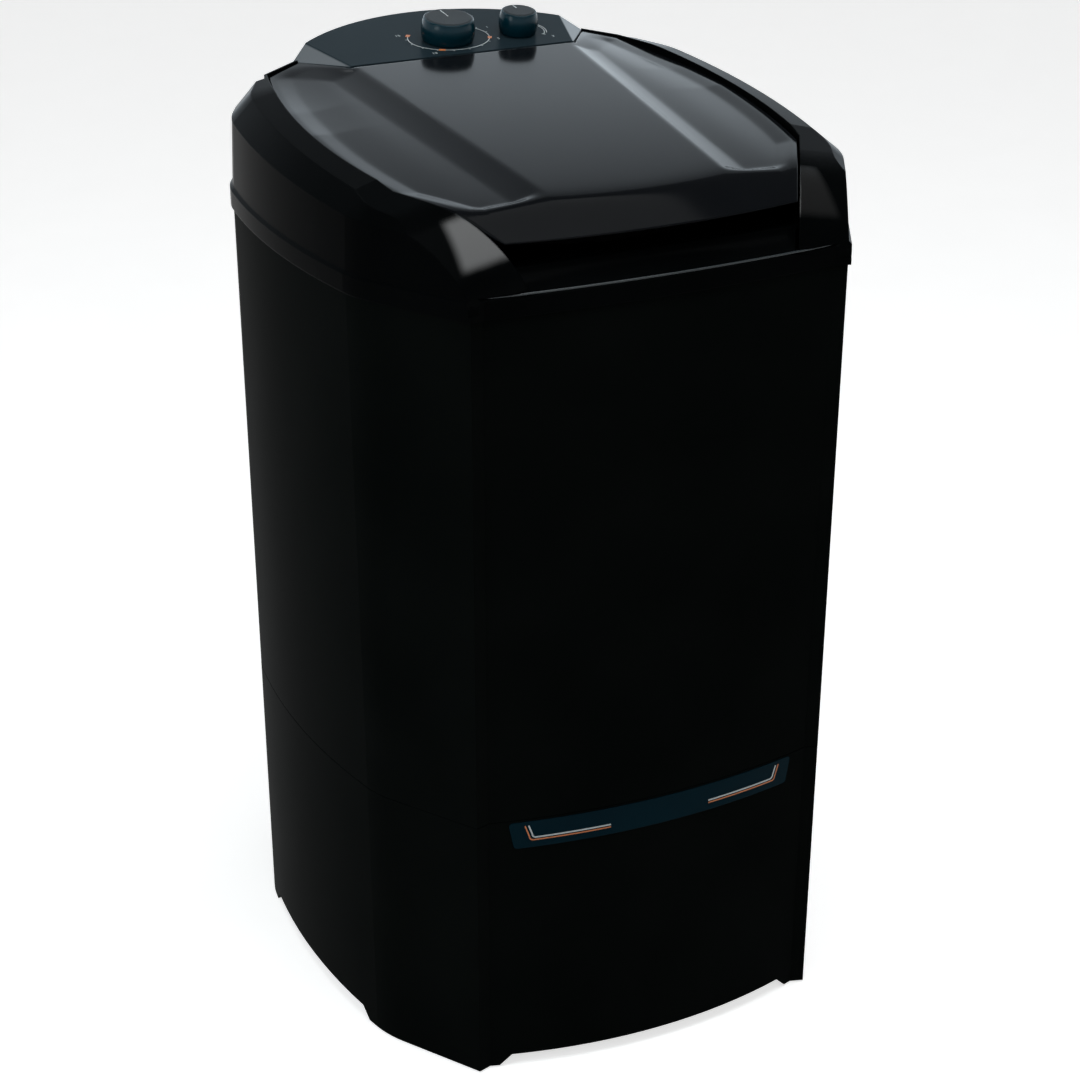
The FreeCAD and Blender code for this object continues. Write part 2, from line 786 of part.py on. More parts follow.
def make_lid():
    high = console_front_z + lid_block_rise
    outer = Part.makeLoft([lid_wire(well_floor), lid_wire(high)], True, True)
    inner = Part.makeLoft([lid_wire(well_floor, -lid_wall), lid_wire(high, -lid_wall)], True, True)
    lid = outer.common(crown_surface(0.0))
    hollow = inner.common(crown_surface(lid_wall))
    under = pocket_cut(lid_wall)
    hollow = hollow.cut(group([under, mirrored(under)]))
    lid = lid.cut(hollow)
    pocket = pocket_cut(0.0)
    lid = lid.cut(group([pocket, mirrored(pocket)]))
    far = 2 * base_front_y
    skirt_z = lid_front_z + lid_front_y * skirt_tilt
    skirt_line = [(-far, skirt_z - far * skirt_tilt), (far, skirt_z + far * skirt_tilt)]
    lid = lid.cut(side_profile(skirt_line + [(far, 0), (-far, 0)], -far, far))
    half = console_front_half + lid_gap
    corner = box(-half, hinge_y, hinge_z, half, console_front_y, 2 * crown_z)
    lid = lid.cut(corner.cut(hinge_cylinder(nose_radius, -half, half)))
    window_half = bracket_width / 2 + 2 * knuckle_gap + knuckle_width
    window_top = hinge_z + knuckle_radius + knuckle_gap
    window = box(hinge_x - window_half, hinge_y + knuckle_radius, 0,
                 hinge_x + window_half, console_front_y, window_top)
    lid = lid.cut(group([window, mirrored(window)]))
    pieces = [lid]
    for x0, x1 in knuckle_spans():
        web = box(x0, hinge_y - knuckle_radius, hinge_z, x1, hinge_y + knuckle_radius, 2 * crown_z)
        knuckle = hinge_cylinder(knuckle_radius, x0, x1).fuse(web.common(crown_surface(lid_wall / 2)))
        pieces += [knuckle, mirrored(knuckle)]
    lid = joined(pieces)
    bore = hinge_cylinder(hinge_pin_radius + running_gap, hinge_x - far, hinge_x + far)
    return lid.cut(bore)


def make_lid_bumpers():
    foot = grip_top_z + fit_gap
    stem = disc(bumper_radius, foot, crown_z, bumper_x, -bumper_y)
    return both_sides(stem.common(crown_surface(lid_wall)))


# Hinge: brackets on the rear wall of the well, with the pins that the lid's knuckles turn on
def make_hinge_brackets():
    half = knuckle_radius - running_gap
    foot = well_floor + wall
    line = [(console_front_y, foot), (console_front_y, deck_z - wall), (hinge_y + wall, deck_z + wall),
            (hinge_y + wall, hinge_z), (hinge_y - half, hinge_z), (hinge_y - half, deck_z - 2 * wall),
            (console_front_y - 2 * wall, foot)]
    x0 = hinge_x - bracket_width / 2
    x1 = hinge_x + bracket_width / 2
    bracket = side_profile(line, x0, x1).fuse(hinge_cylinder(half, x0, x1))
    bracket = bracket.cut(hinge_cylinder(hinge_pin_radius, x0, x1)).removeSplitter()
    return both_sides(bracket)


def make_hinge_pins():
    spans = knuckle_spans()
    return both_sides(hinge_cylinder(hinge_pin_radius, spans[0][0], spans[1][1]))


# Console: bowed housing with a tilted top, faceted sides and a cove for the lid's rear edge
def console_z(y):
    return console_front_z + math.tan(math.radians(console_tilt)) * (y - console_front_y)


def above_console(down):
    far = 2 * base_front_y
    line = [(0, console_z(0) - down), (far, console_z(far) - down), (far, 2 * crown_z), (0, 2 * crown_z)]
    return side_profile(line, -far, far)


def facet_cut(down):
    """Half space outside the right-hand facet, moved in by down."""
    first = V(console_front_half, console_front_y, console_front_z)
    along = unit(V(console_side_x, console_side_y, console_side_z) - first)
    rise = V(console_heel_x, console_heel_y, console_z(console_heel_y)) - first
    rise = unit(rise - along * rise.dot(along))
    normal = unit(along.cross(rise))
    normal = normal if normal.x > 0 else normal * -1
    first = first - normal * down
    far = base_front_y
    corners = [(-far, -far), (far, -far), (far, far), (-far, far)]
    face = Part.Face(polygon([first + along * a + rise * b for a, b in corners]))
    return face.extrude(normal * far)


def console_boss_points():
    x = console_front_half - 2 * boss_radius
    front = console_front_y + console_front_wall + boss_radius / 2
    return [(sx * x, y) for sx in (-1, 1) for y in (front, console_heel_y)]


def knob_seats():
    return [(0.0, timer_y), (selector_x, selector_y)]


def on_console(shape, x, y):
    """Moves a shape modelled about +Z so that it stands on the console's top at (x, y)."""
    placed = shape.copy()
    placed.rotate(V(0, 0, 0), V(1, 0, 0), console_tilt)
    placed.translate(V(x, y, console_z(y)))
    return placed


def make_console_panel():
    height = 2 * crown_z - deck_z
    panel = prism(console_wire(deck_z), height).cut(above_console(0.0))
    facet = facet_cut(console_facet_trim)
    panel = panel.cut(group([facet, mirrored(facet)]))
    room = prism(console_wire(deck_z - wall, -console_wall), height).cut(above_console(console_wall))
    inner_facet = facet_cut(console_facet_trim + console_wall)
    room = room.cut(group([inner_facet, mirrored(inner_facet)]))
    far = 2 * base_front_y
    room = room.cut(box(-far, 0, 0, far, console_front_y + console_front_wall, 2 * crown_z))
    bosses = group([disc(boss_radius, deck_z, 2 * crown_z, x, y) for x, y in console_boss_points()])
    panel = panel.cut(room.cut(bosses))
    half = console_front_half + lid_gap
    panel = panel.cut(hinge_cylinder(nose_radius + nose_gap, -half, half))
    for x, y in knob_seats():
        panel = panel.cut(on_console(disc(knob_shaft_radius + shaft_hole_gap, -far, far), x, y))
    for x, y in console_boss_points():
        panel = panel.cut(disc(screw_radius, deck_z - wall, deck_z + screw_length, x, y))
    return panel


def knob_body(radius, height):
    """Barrel-sided knob with a seat for its cap and a bore for its shaft."""
    lower = V(radius - knob_bulge / 2, 0, knob_lift)
    middle = V(radius + knob_bulge / 2, 0, height * knob_waist)
    upper = V(radius - knob_bulge / 2, 0, height - knob_bulge)
    rim = V(radius - cap_inset + knob_bulge / 4, 0, height)
    shoulder = V(radius - shoulder_inset, 0, height - shoulder_drop)
    edges = [Part.Arc(lower, middle, upper).toShape(), Part.Arc(upper, shoulder, rim).toShape()]
    seat = radius - cap_inset
    floor_z = height - cap_depth
    inner = [rim, V(seat, 0, height), V(seat, 0, floor_z), V(0, 0, floor_z), V(0, 0, knob_lift), lower]
    edges += [Part.LineSegment(a, b).toShape() for a, b in zip(inner[:-1], inner[1:])]
    knob = Part.Face(Part.Wire(edges)).revolve(V(0, 0, 0), V(0, 0, 1), 360)
    return knob.cut(disc(knob_shaft_radius, 0, knob_lift + knob_bore_depth))


def knob_cap(radius, height):
    cap_radius = radius - cap_inset
    top = height + cap_dome
    low = height - cap_depth
    return turned([(0, low), (cap_radius, low), (cap_radius, height - running_gap),
                   (cap_radius - cap_bevel, top), (0, top)])


def knob_shaft(depth):
    return disc(knob_shaft_radius, -console_wall - depth, knob_lift + knob_bore_depth)


def make_timer_unit():
    high = -console_wall
    low = high - timer_body_height
    side = timer_body_radius
    end = side - unit_chamfer
    body = turned([(0, low), (end, low), (side, low + unit_chamfer), (side, high - unit_chamfer),
                   (end, high), (0, high)])
    bore = disc(knob_shaft_radius + running_gap, high - timer_shaft_depth - bore_spare, 0)
    return on_console(body.cut(bore), 0.0, timer_y)


def make_selector_switch():
    half = switch_body_size / 2
    body = box(-half, -half, -console_wall - switch_body_height, half, half, -console_wall)
    upright = [e for e in body.Edges if abs(e.Vertexes[0].Z - e.Vertexes[-1].Z) > fit_gap]
    body = body.makeChamfer(unit_chamfer, upright)
    bore = disc(knob_shaft_radius + running_gap, -console_wall - switch_shaft_depth - bore_spare, 0)
    return on_console(body.cut(bore), selector_x, selector_y)


# Wash tub: drafted round shell with a hanging flange, ribs on its wall and a drain hole
def tub_profile(grow):
    """Closed half section of the tub's outside, or of its inside when moved in."""
    top = rim_z + tub_wall
    foot = tub_foot_radius - grow
    low = tub_bottom_z + grow
    wall_top = V(tub_top_radius - grow, 0, top + grow)
    slope = unit(V(tub_taper, 0, top - tub_bottom_z))
    corner = V(foot, 0, low)
    round_top = corner + slope * tub_round
    round_end = corner - V(tub_round, 0, 0)
    inward = unit(slope - V(1, 0, 0))
    half_angle = slope.getAngle(V(-1, 0, 0)) / 2
    round_radius = tub_round * math.tan(half_angle)
    round_middle = corner + inward * (tub_round / math.cos(half_angle) - round_radius)
    edges = [Part.LineSegment(wall_top, round_top).toShape()]
    edges.append(Part.Arc(round_top, round_middle, round_end).toShape())
    line = [round_end, V(0, 0, low), V(0, 0, wall_top.z), wall_top]
    edges += [Part.LineSegment(a, b).toShape() for a, b in zip(line[:-1], line[1:])]
    return Part.Face(Part.Wire(edges)).revolve(V(0, 0, 0), V(0, 0, 1), 360)


def make_wash_tub():
    outside = tub_profile(0.0).fuse(disc(tub_flange_radius, rim_z, rim_z + tub_wall))
    inside = tub_profile(tub_wall)
    low = V(tub_foot_radius - tub_wall, 0, tub_bottom_z + tub_rib_foot)
    high = V(tub_top_radius - tub_wall, 0, rim_z - collar_depth)
    rib = Part.makeCylinder(tub_rib_radius, (high - low).Length, low, unit(high - low))
    ribs = []
    for index in range(tub_rib_count):
        copy = rib.copy()
        copy.rotate(V(0, 0, 0), V(0, 0, 1), 360 * (index + 0.5) / tub_rib_count)
        ribs.append(copy)
    tub = outside.cut(inside.cut(group(ribs)))
    tub = tub.cut(disc(neck_radius + fit_gap, 0, rim_z))
    return tub.cut(disc(drain_bore, 0, rim_z, -drain_x, drain_y))


# Pulsator: dished disc with curved vanes on a hub
def pulsator_low():
    return tub_bottom_z + tub_wall + pulsator_gap


def make_pulsator():
    low = pulsator_low()
    hub_top = low + pulsator_dome
    rim = V(pulsator_radius, 0, low + pulsator_rim)
    hub = V(pulsator_hub_radius, 0, hub_top)
    dish = V((pulsator_radius + pulsator_hub_radius) / 2, 0, low + pulsator_rim + dish_rise)
    edges = [Part.Arc(rim, dish, hub).toShape()]
    line = [hub, V(0, 0, hub_top), V(0, 0, low), V(pulsator_radius, 0, low), rim]
    edges += [Part.LineSegment(a, b).toShape() for a, b in zip(line[:-1], line[1:])]
    disc_body = Part.Face(Part.Wire(edges)).revolve(V(0, 0, 0), V(0, 0, 1), 360)
    tip = pulsator_radius - vane_edge
    envelope = turned([(0, low), (tip, low), (tip, low + pulsator_rim + vane_edge),
                       (pulsator_radius * vane_peak_share, hub_top + vane_peak),
                       (pulsator_hub_radius, hub_top + vane_root), (0, hub_top + vane_root)])
    vanes = []
    for index in range(vane_count):
        vane = vane_plan().copy()
        vane.rotate(V(0, 0, 0), V(0, 0, 1), 360 * index / vane_count)
        vanes.append(vane.common(envelope))
    body = joined([disc_body] + vanes)
    return body.cut(disc(shaft_radius, 0, shaft_top())).cut(disc(screw_radius, 0, 2 * hub_top))


def vane_plan():
    """Crescent seen from above, from the hub to the rim."""
    half = vane_width / 2
    inner = pulsator_hub_radius - half
    outer = pulsator_radius - half
    mid = (inner + outer) / 2
    first = Part.Arc(V(inner, -half, 0), V(mid, half, 0), V(outer, -half / 2, 0)).toShape()
    last = Part.Arc(V(outer, half / 2, 0), V(mid, half + vane_width, 0), V(inner, half, 0)).toShape()
    tip = Part.LineSegment(V(outer, -half / 2, 0), V(outer, half / 2, 0)).toShape()
    root = Part.LineSegment(V(inner, half, 0), V(inner, -half, 0)).toShape()
    face = Part.Face(Part.Wire([first, tip, last, root]))
    face.translate(V(0, 0, pulsator_low()))
    return face.extrude(V(0, 0, pulsator_dome + vane_height))


def shaft_top():
    return pulsator_low() + pulsator_dome - pulsator_rim


def pulley_low():
    return pulley_top_z - pulley_width


def make_pulsator_shaft():
    return disc(shaft_radius, pulley_low() - nut_height, shaft_top()).cut(
        disc(screw_radius, shaft_top() - screw_length, shaft_top()))


def make_pulsator_screw():
    hub_top = pulsator_low() + pulsator_dome
    return screw(V(0, 0, hub_top), V(0, 0, 1), hub_top - shaft_top() + screw_length)


# Bearing housing between the chassis plate and the tub's bottom, with its bushes and seal
def plate_top():
    return chassis_z + chassis_thick


def neck_top():
    return tub_bottom_z + tub_wall


def make_bearing_housing():
    low = plate_top()
    top = tub_bottom_z
    thick = housing_flange_thick
    seat = housing_reach() - screw_head_radius - fit_gap
    body = turned([(0, low), (housing_foot_radius, low), (housing_foot_radius, low + thick),
                   (seat, low + thick), (housing_radius, low + 2 * thick),
                   (housing_radius, top - 2 * thick), (housing_flange_radius, top - thick),
                   (housing_flange_radius, top), (neck_radius, top),
                   (neck_radius, neck_top()), (0, neck_top())])
    body = body.cut(disc(shaft_radius + shaft_clear, low, neck_top()))
    body = body.cut(disc(bush_radius, low, low + bush_length))
    body = body.cut(disc(bush_radius, neck_top() - bush_length - seal_height, neck_top()))
    for x, y in housing_points():
        body = body.cut(disc(screw_radius, low, top - thick, x, y))
    return body


def housing_reach():
    """Distance of the foot screws from the shaft."""
    return housing_foot_radius - screw_head_radius - housing_edge


def housing_points():
    side = housing_reach() / math.sqrt(2)
    return [(sx * side, sy * side) for sx in (-1, 1) for sy in (-1, 1)]


def bush(z0):
    return ring(bush_radius, shaft_radius + running_gap, z0, z0 + bush_length)


def make_shaft_seal():
    high = neck_top()
    low = high - seal_height
    lip = shaft_radius + running_gap
    return turned([(lip, low), (bush_radius, low), (bush_radius, high), (shaft_radius + shaft_clear, high),
                   (lip, high - shaft_clear)])


# Chassis plate on the base skirt's posts
def make_chassis_plate():
    posts = corner_points(0, pad_inset_x, pad_inset_y)
    x = max(p[0] for p in posts) + post_radius
    y = max(p[1] for p in posts) + post_radius
    cut = 2 * post_radius
    outline = [V(x - cut, -y, 0), V(x, -y + cut, 0), V(x, y - cut, 0), V(x - cut, y, 0)]
    outline += [V(-p.x, p.y, 0) for p in reversed(outline)]
    wire = polygon([p + V(0, 0, chassis_z) for p in outline])
    plate = prism(wire, chassis_thick)
    half = y - cut - post_radius
    for sx in (-1, 1):
        left = sx * (x - chassis_thick / 2) - chassis_thick / 2
        right = left + chassis_thick
        plate = plate.fuse(box(left, -half, chassis_z - chassis_flange, right, half, chassis_z))
    plate = plate.removeSplitter()
    plate = plate.cut(disc(shaft_radius + shaft_clear, 0, crown_z))
    plate = plate.cut(disc(motor_shaft_radius + motor_hole_gap, 0, crown_z, 0, motor_y))
    holes = posts + housing_points() + motor_points()
    for px, py in holes:
        plate = plate.cut(disc(screw_radius, 0, crown_z, px, py))
    return plate


def motor_points():
    return [(sx * motor_foot_half, motor_y + sy * motor_foot_half) for sx in (-1, 1) for sy in (-1, 1)]


# Motor on rubber mounts, with its shaft down through the plate
def motor_low():
    return plate_top() + motor_mount_height


def make_motor_body():
    low = motor_low()
    high = low + motor_height
    end = motor_radius - motor_step
    body = turned([(0, low), (end, low), (motor_radius, low + motor_step), (motor_radius, high - motor_step),
                   (end, high), (0, high)], 0, motor_y)
    lug_top = low + motor_mount_height
    side = motor_foot_half + mount_radius
    layer = box(-side, 0, low, side, 2 * base_front_y, lug_top)
    for x, y in motor_points():
        lug = disc(mount_radius, low, lug_top, x, y)
        root = V(x, y, (low + lug_top) / 2)
        arm = Part.makeCylinder(mount_radius / 2, lug_reach, root, V(-x, motor_y - y, 0))
        body = body.fuse(lug.fuse(arm).common(layer))
    body = body.removeSplitter()
    for x, y in motor_points():
        body = body.cut(disc(screw_radius, low, high, x, y))
    return body.cut(disc(motor_shaft_radius + running_gap, low, high - motor_step, 0, motor_y))


def make_motor_mounts():
    low = plate_top()
    return group([ring(mount_radius, screw_radius, low, motor_low(), x, y) for x, y in motor_points()])


def make_motor_screws():
    top = motor_low() + motor_mount_height
    length = top - chassis_z + chassis_thick
    return group([screw(V(x, y, top), V(0, 0, 1), length) for x, y in motor_points()])


def make_motor_shaft():
    high = motor_low() + motor_height - motor_shaft_sink
    return disc(motor_shaft_radius, pulley_low() - nut_height, high, 0, motor_y)


def pulley(radius, bore, y):
    """V-pulley with a groove for the belt and a thinned web."""
    low = pulley_low()
    high = pulley_top_z
    middle = (low + high) / 2
    groove = belt_height / 2 + fit_gap
    flare = groove + groove_flare
    root = radius - groove_depth
    hub = bore + pulley_hub
    body = turned([(bore, low), (radius, low), (radius, middle - flare), (root, middle - groove),
                   (root, middle + groove), (radius, middle + flare), (radius, high), (bore, high)], 0, y)
    rim = root - pulley_rim
    if rim > hub + web_room:
        recess = (pulley_width - belt_height) / 2
        body = body.cut(ring(rim, hub, low, low + recess, 0, y))
        body = body.cut(ring(rim, hub, high - recess, high, 0, y))
        reach = (rim + hub) / 2
        hole = min((rim - hub) / 2, reach / 2) - web_bar
        for index in range(web_holes):
            angle = 2 * math.pi * index / web_holes
            body = body.cut(disc(hole, low, high, reach * math.cos(angle), y + reach * math.sin(angle)))
    return body


def make_pulley_nut():
    low = pulley_low()
    angles = [math.pi * k / 3 for k in range(6)]
    nut = prism(polygon([V(math.cos(a), math.sin(a), 0) * nut_radius for a in angles]), nut_height)
    nut.translate(V(0, 0, low - nut_height))
    return nut.cut(disc(shaft_radius, low - nut_height, low))


def belt_loop(grow):
    large = driven_pulley_radius - groove_depth + fit_gap + grow
    small = motor_pulley_radius - groove_depth + fit_gap + grow
    rise = (large - small) / motor_y
    side = V(math.sqrt(1 - rise ** 2), rise, 0)
    z = V(0, 0, (pulley_low() + pulley_top_z - belt_height) / 2)
    axle = V(0, motor_y, 0)
    mirror = V(-side.x, side.y, 0)
    first = z + side * large
    second = z + axle + side * small
    third = z + axle + mirror * small
    fourth = z + mirror * large
    edges = [Part.LineSegment(first, second).toShape(),
             Part.Arc(second, z + axle + V(0, small, 0), third).toShape(),
             Part.LineSegment(third, fourth).toShape(),
             Part.Arc(fourth, z - V(0, large, 0), first).toShape()]
    return Part.Face(Part.Wire(edges)).extrude(V(0, 0, belt_height))


def make_drive_belt():
    return belt_loop(belt_thick).cut(belt_loop(0.0))


# Capacitor beside the motor
def make_capacitor():
    low = plate_top() + clip_height
    high = low + capacitor_height
    side = capacitor_radius
    return turned([(0, low), (side, low), (side, high - can_bevel), (side - can_bevel, high), (0, high)],
                  capacitor_x, capacitor_y)


def make_capacitor_clip():
    low = plate_top()
    inner = capacitor_radius + fit_gap
    outer = inner + clip_wall
    cup = ring(outer, inner, low, low + 3 * clip_height, capacitor_x, capacitor_y)
    return cup.fuse(disc(outer, low, low + clip_height, capacitor_x, capacitor_y)).removeSplitter()


# Drain pipe from the tub's bottom out through the back wall
def make_drain_pipe():
    start = V(-drain_x, drain_y, tub_bottom_z)
    turn = V(-drain_x, drain_y, drain_z)
    end = V(-drain_x, body_depth(drain_x, drain_z) + drain_reach, drain_z)
    down = turn + V(0, 0, drain_bend)
    out = turn + V(0, drain_bend, 0)
    centre = turn + V(0, drain_bend, drain_bend)
    middle = centre - V(0, 1, 1) * (drain_bend / math.sqrt(2))
    path = [Part.LineSegment(start, down).toShape(), Part.Arc(down, middle, out).toShape(),
            Part.LineSegment(out, end).toShape()]

    def tube(radius):
        circle = Part.Wire(Part.makeCircle(radius, start, V(0, 0, -1)))
        return Part.Wire(path).makePipeShell([circle], True, False)

    flange = disc(drain_flange, tub_bottom_z - wall, tub_bottom_z, -drain_x, drain_y)
    step = ring(2 * drain_radius, spigot_radius, -spigot_length, spigot_length)
    pipe = tube(drain_radius).fuse(flange).cut(turned_to(step, end, V(0, 1, 0)))
    return pipe.cut(tube(drain_bore)).removeSplitter()


def make_cord_gland():
    thick = gland_flange_thick
    length = wall + 2 * thick
    collar = turned([(0, fit_gap), (gland_flange, fit_gap), (gland_flange, thick / 2), (gland_radius, thick),
                     (0, thick)])
    body = disc(gland_radius - fit_gap, -length, fit_gap).fuse(collar)
    body = body.cut(disc(gland_bore, -length, length)).removeSplitter()
    return turned_to(body, *rear_wall(gland_x, gland_z))


# Screws
def make_rear_cover_screws():
    return group([screw(*rear_wall(x, z)) for x, z in rear_cover_points()])


def make_cabinet_screws():
    return group([screw(V(x, y, seam_z - wall), V(0, 0, -1)) for x, y in flange_points()])


def make_chassis_screws():
    points = corner_points(0, pad_inset_x, pad_inset_y)
    return group([screw(V(x, y, plate_top()), V(0, 0, 1)) for x, y in points])


def make_housing_screws():
    top = plate_top() + housing_flange_thick
    return group([screw(V(x, y, top), V(0, 0, 1), top - chassis_z) for x, y in housing_points()])


def make_console_screws():
    return group([screw(V(x, y, deck_z - wall), V(0, 0, -1)) for x, y in console_boss_points()])


def make_foot_pads():
    pads = []
    for x, y in corner_points(0, pad_inset_x, pad_inset_y):
        pads.append(turned([(0, 0), (pad_radius - pad_bevel, 0), (pad_radius, pad_bevel),
                            (pad_radius, web_z), (0, web_z)], x, y))
    return group(pads)


nodes = {
    "base_skirt": make_base_skirt,
    "foot_pads": make_foot_pads,
    "badge_strip": lambda: badge_slab(badge_depth),
    "cabinet_shell": make_cabinet_shell,
    "cabinet_screws": make_cabinet_screws,
    "rear_cover": make_rear_cover,
    "rear_cover_screws": make_rear_cover_screws,
    "cord_gland": make_cord_gland,
    "chassis_plate": make_chassis_plate,
    "chassis_screws": make_chassis_screws,
    "bearing_housing": make_bearing_housing,
    "housing_screws": make_housing_screws,
    "upper_bush": lambda: bush(neck_top() - bush_length - seal_height),
    "lower_bush": lambda: bush(plate_top()),
    "shaft_seal": make_shaft_seal,
    "wash_tub": make_wash_tub,
    "drain_pipe": make_drain_pipe,
    "motor_body": make_motor_body,
    "motor_mounts": make_motor_mounts,
    "motor_screws": make_motor_screws,
    "drive_belt": make_drive_belt,
    "capacitor": make_capacitor,
    "capacitor_clip": make_capacitor_clip,
    "top_cover": make_top_cover,
    "hinge_brackets": make_hinge_brackets,
    "hinge_pins": make_hinge_pins,
    "console_panel": make_console_panel,
    "console_screws": make_console_screws,
    "timer_unit": make_timer_unit,
    "selector_switch": make_selector_switch,
    "lid": make_lid,
    "lid_bumpers": make_lid_bumpers,
    "timer_knob": lambda: on_console(knob_body(timer_radius, timer_height), 0.0, timer_y),
    "timer_cap": lambda: on_console(knob_cap(timer_radius, timer_height), 0.0, timer_y),
    "timer_shaft": lambda: on_console(knob_shaft(timer_shaft_depth), 0.0, timer_y),
    "selector_knob": lambda: on_console(knob_body(selector_radius, selector_height), selector_x, selector_y),
    "selector_cap": lambda: on_console(knob_cap(selector_radius, selector_height), selector_x, selector_y),
    "selector_shaft": lambda: on_console(knob_shaft(switch_shaft_depth), selector_x, selector_y),
    "pulsator": make_pulsator,
    "pulsator_screw": make_pulsator_screw,
    "pulsator_shaft": make_pulsator_shaft,
    "driven_pulley": lambda: pulley(driven_pulley_radius, shaft_radius, 0.0),
    "pulley_nut": make_pulley_nut,
    "motor_shaft": make_motor_shaft,
    "motor_pulley": lambda: pulley(motor_pulley_radius, motor_shaft_radius, motor_y),
}

os.makedirs("parts", exist_ok=True)
for name, make in nodes.items():
    shape = make()
    print(name, len(shape.Solids), shape.isValid(), round(shape.Volume))
    shape.exportStep("parts/" + name + ".step")
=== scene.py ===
import bpy
import json
import numpy as np
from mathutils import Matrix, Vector


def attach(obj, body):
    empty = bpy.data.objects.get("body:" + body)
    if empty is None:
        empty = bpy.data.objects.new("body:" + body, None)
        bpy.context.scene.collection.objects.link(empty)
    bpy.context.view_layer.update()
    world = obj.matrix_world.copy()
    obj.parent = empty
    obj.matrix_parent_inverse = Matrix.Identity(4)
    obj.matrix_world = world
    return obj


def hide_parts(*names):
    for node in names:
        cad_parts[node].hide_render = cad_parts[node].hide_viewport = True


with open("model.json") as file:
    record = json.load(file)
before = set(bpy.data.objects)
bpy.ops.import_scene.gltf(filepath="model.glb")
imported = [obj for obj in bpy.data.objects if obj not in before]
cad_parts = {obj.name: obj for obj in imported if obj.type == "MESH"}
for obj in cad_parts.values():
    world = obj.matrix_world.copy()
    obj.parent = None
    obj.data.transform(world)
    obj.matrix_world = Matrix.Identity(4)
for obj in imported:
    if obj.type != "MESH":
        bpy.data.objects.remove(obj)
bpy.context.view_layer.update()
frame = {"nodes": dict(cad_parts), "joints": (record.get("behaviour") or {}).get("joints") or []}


# Base skirt and cabinet: two black mouldings, one stacked on the other, with draft on every wall.
# They are injection-moulded polypropylene with a fine tool grain, screwed together through inner flanges
# at the seam. The rear service cover is the same plastic off a coarser tool, set flush into the back.
def moulded_plastic(name, dark, pale, smooth, dull, grain, depth, gloss, edge):
    """Moulded plastic: a slow noise drifts the colour from dark to pale and the roughness from smooth to
    dull, a fine noise of the given grain per metre lifts the skin by depth, and sharp edges read as
    rounded to the edge radius. Gloss is the strength of the plain reflection."""
    material = bpy.data.materials.new(name)
    material.use_nodes = True
    nodes = material.node_tree.nodes
    links = material.node_tree.links
    shader = nodes["Principled BSDF"]
    place = nodes.new("ShaderNodeTexCoord")
    drift = nodes.new("ShaderNodeTexNoise")
    drift.inputs["Scale"].default_value = 7.0
    drift.inputs["Detail"].default_value = 5.0
    links.new(place.outputs["Object"], drift.inputs["Vector"])
    ramp = nodes.new("ShaderNodeValToRGB")
    ramp.color_ramp.elements[0].position = 0.3
    ramp.color_ramp.elements[0].color = (*dark, 1.0)
    ramp.color_ramp.elements[1].position = 0.7
    ramp.color_ramp.elements[1].color = (*pale, 1.0)
    links.new(drift.outputs["Fac"], ramp.inputs["Fac"])
    links.new(ramp.outputs["Color"], shader.inputs["Base Color"])
    polish = nodes.new("ShaderNodeMapRange")
    polish.inputs["To Min"].default_value = smooth
    polish.inputs["To Max"].default_value = dull
    links.new(drift.outputs["Fac"], polish.inputs["Value"])
    links.new(polish.outputs["Result"], shader.inputs["Roughness"])
    skin = nodes.new("ShaderNodeTexNoise")
    skin.inputs["Scale"].default_value = grain
    skin.inputs["Detail"].default_value = 2.0
    links.new(place.outputs["Object"], skin.inputs["Vector"])
    rounding = nodes.new("ShaderNodeBevel")
    rounding.inputs["Radius"].default_value = edge
    bump = nodes.new("ShaderNodeBump")
    bump.inputs["Strength"].default_value = 0.5
    bump.inputs["Distance"].default_value = depth
    links.new(skin.outputs["Fac"], bump.inputs["Height"])
    links.new(rounding.outputs["Normal"], bump.inputs["Normal"])
    links.new(bump.outputs["Normal"], shader.inputs["Normal"])
    shader.inputs["Specular IOR Level"].default_value = gloss
    return material


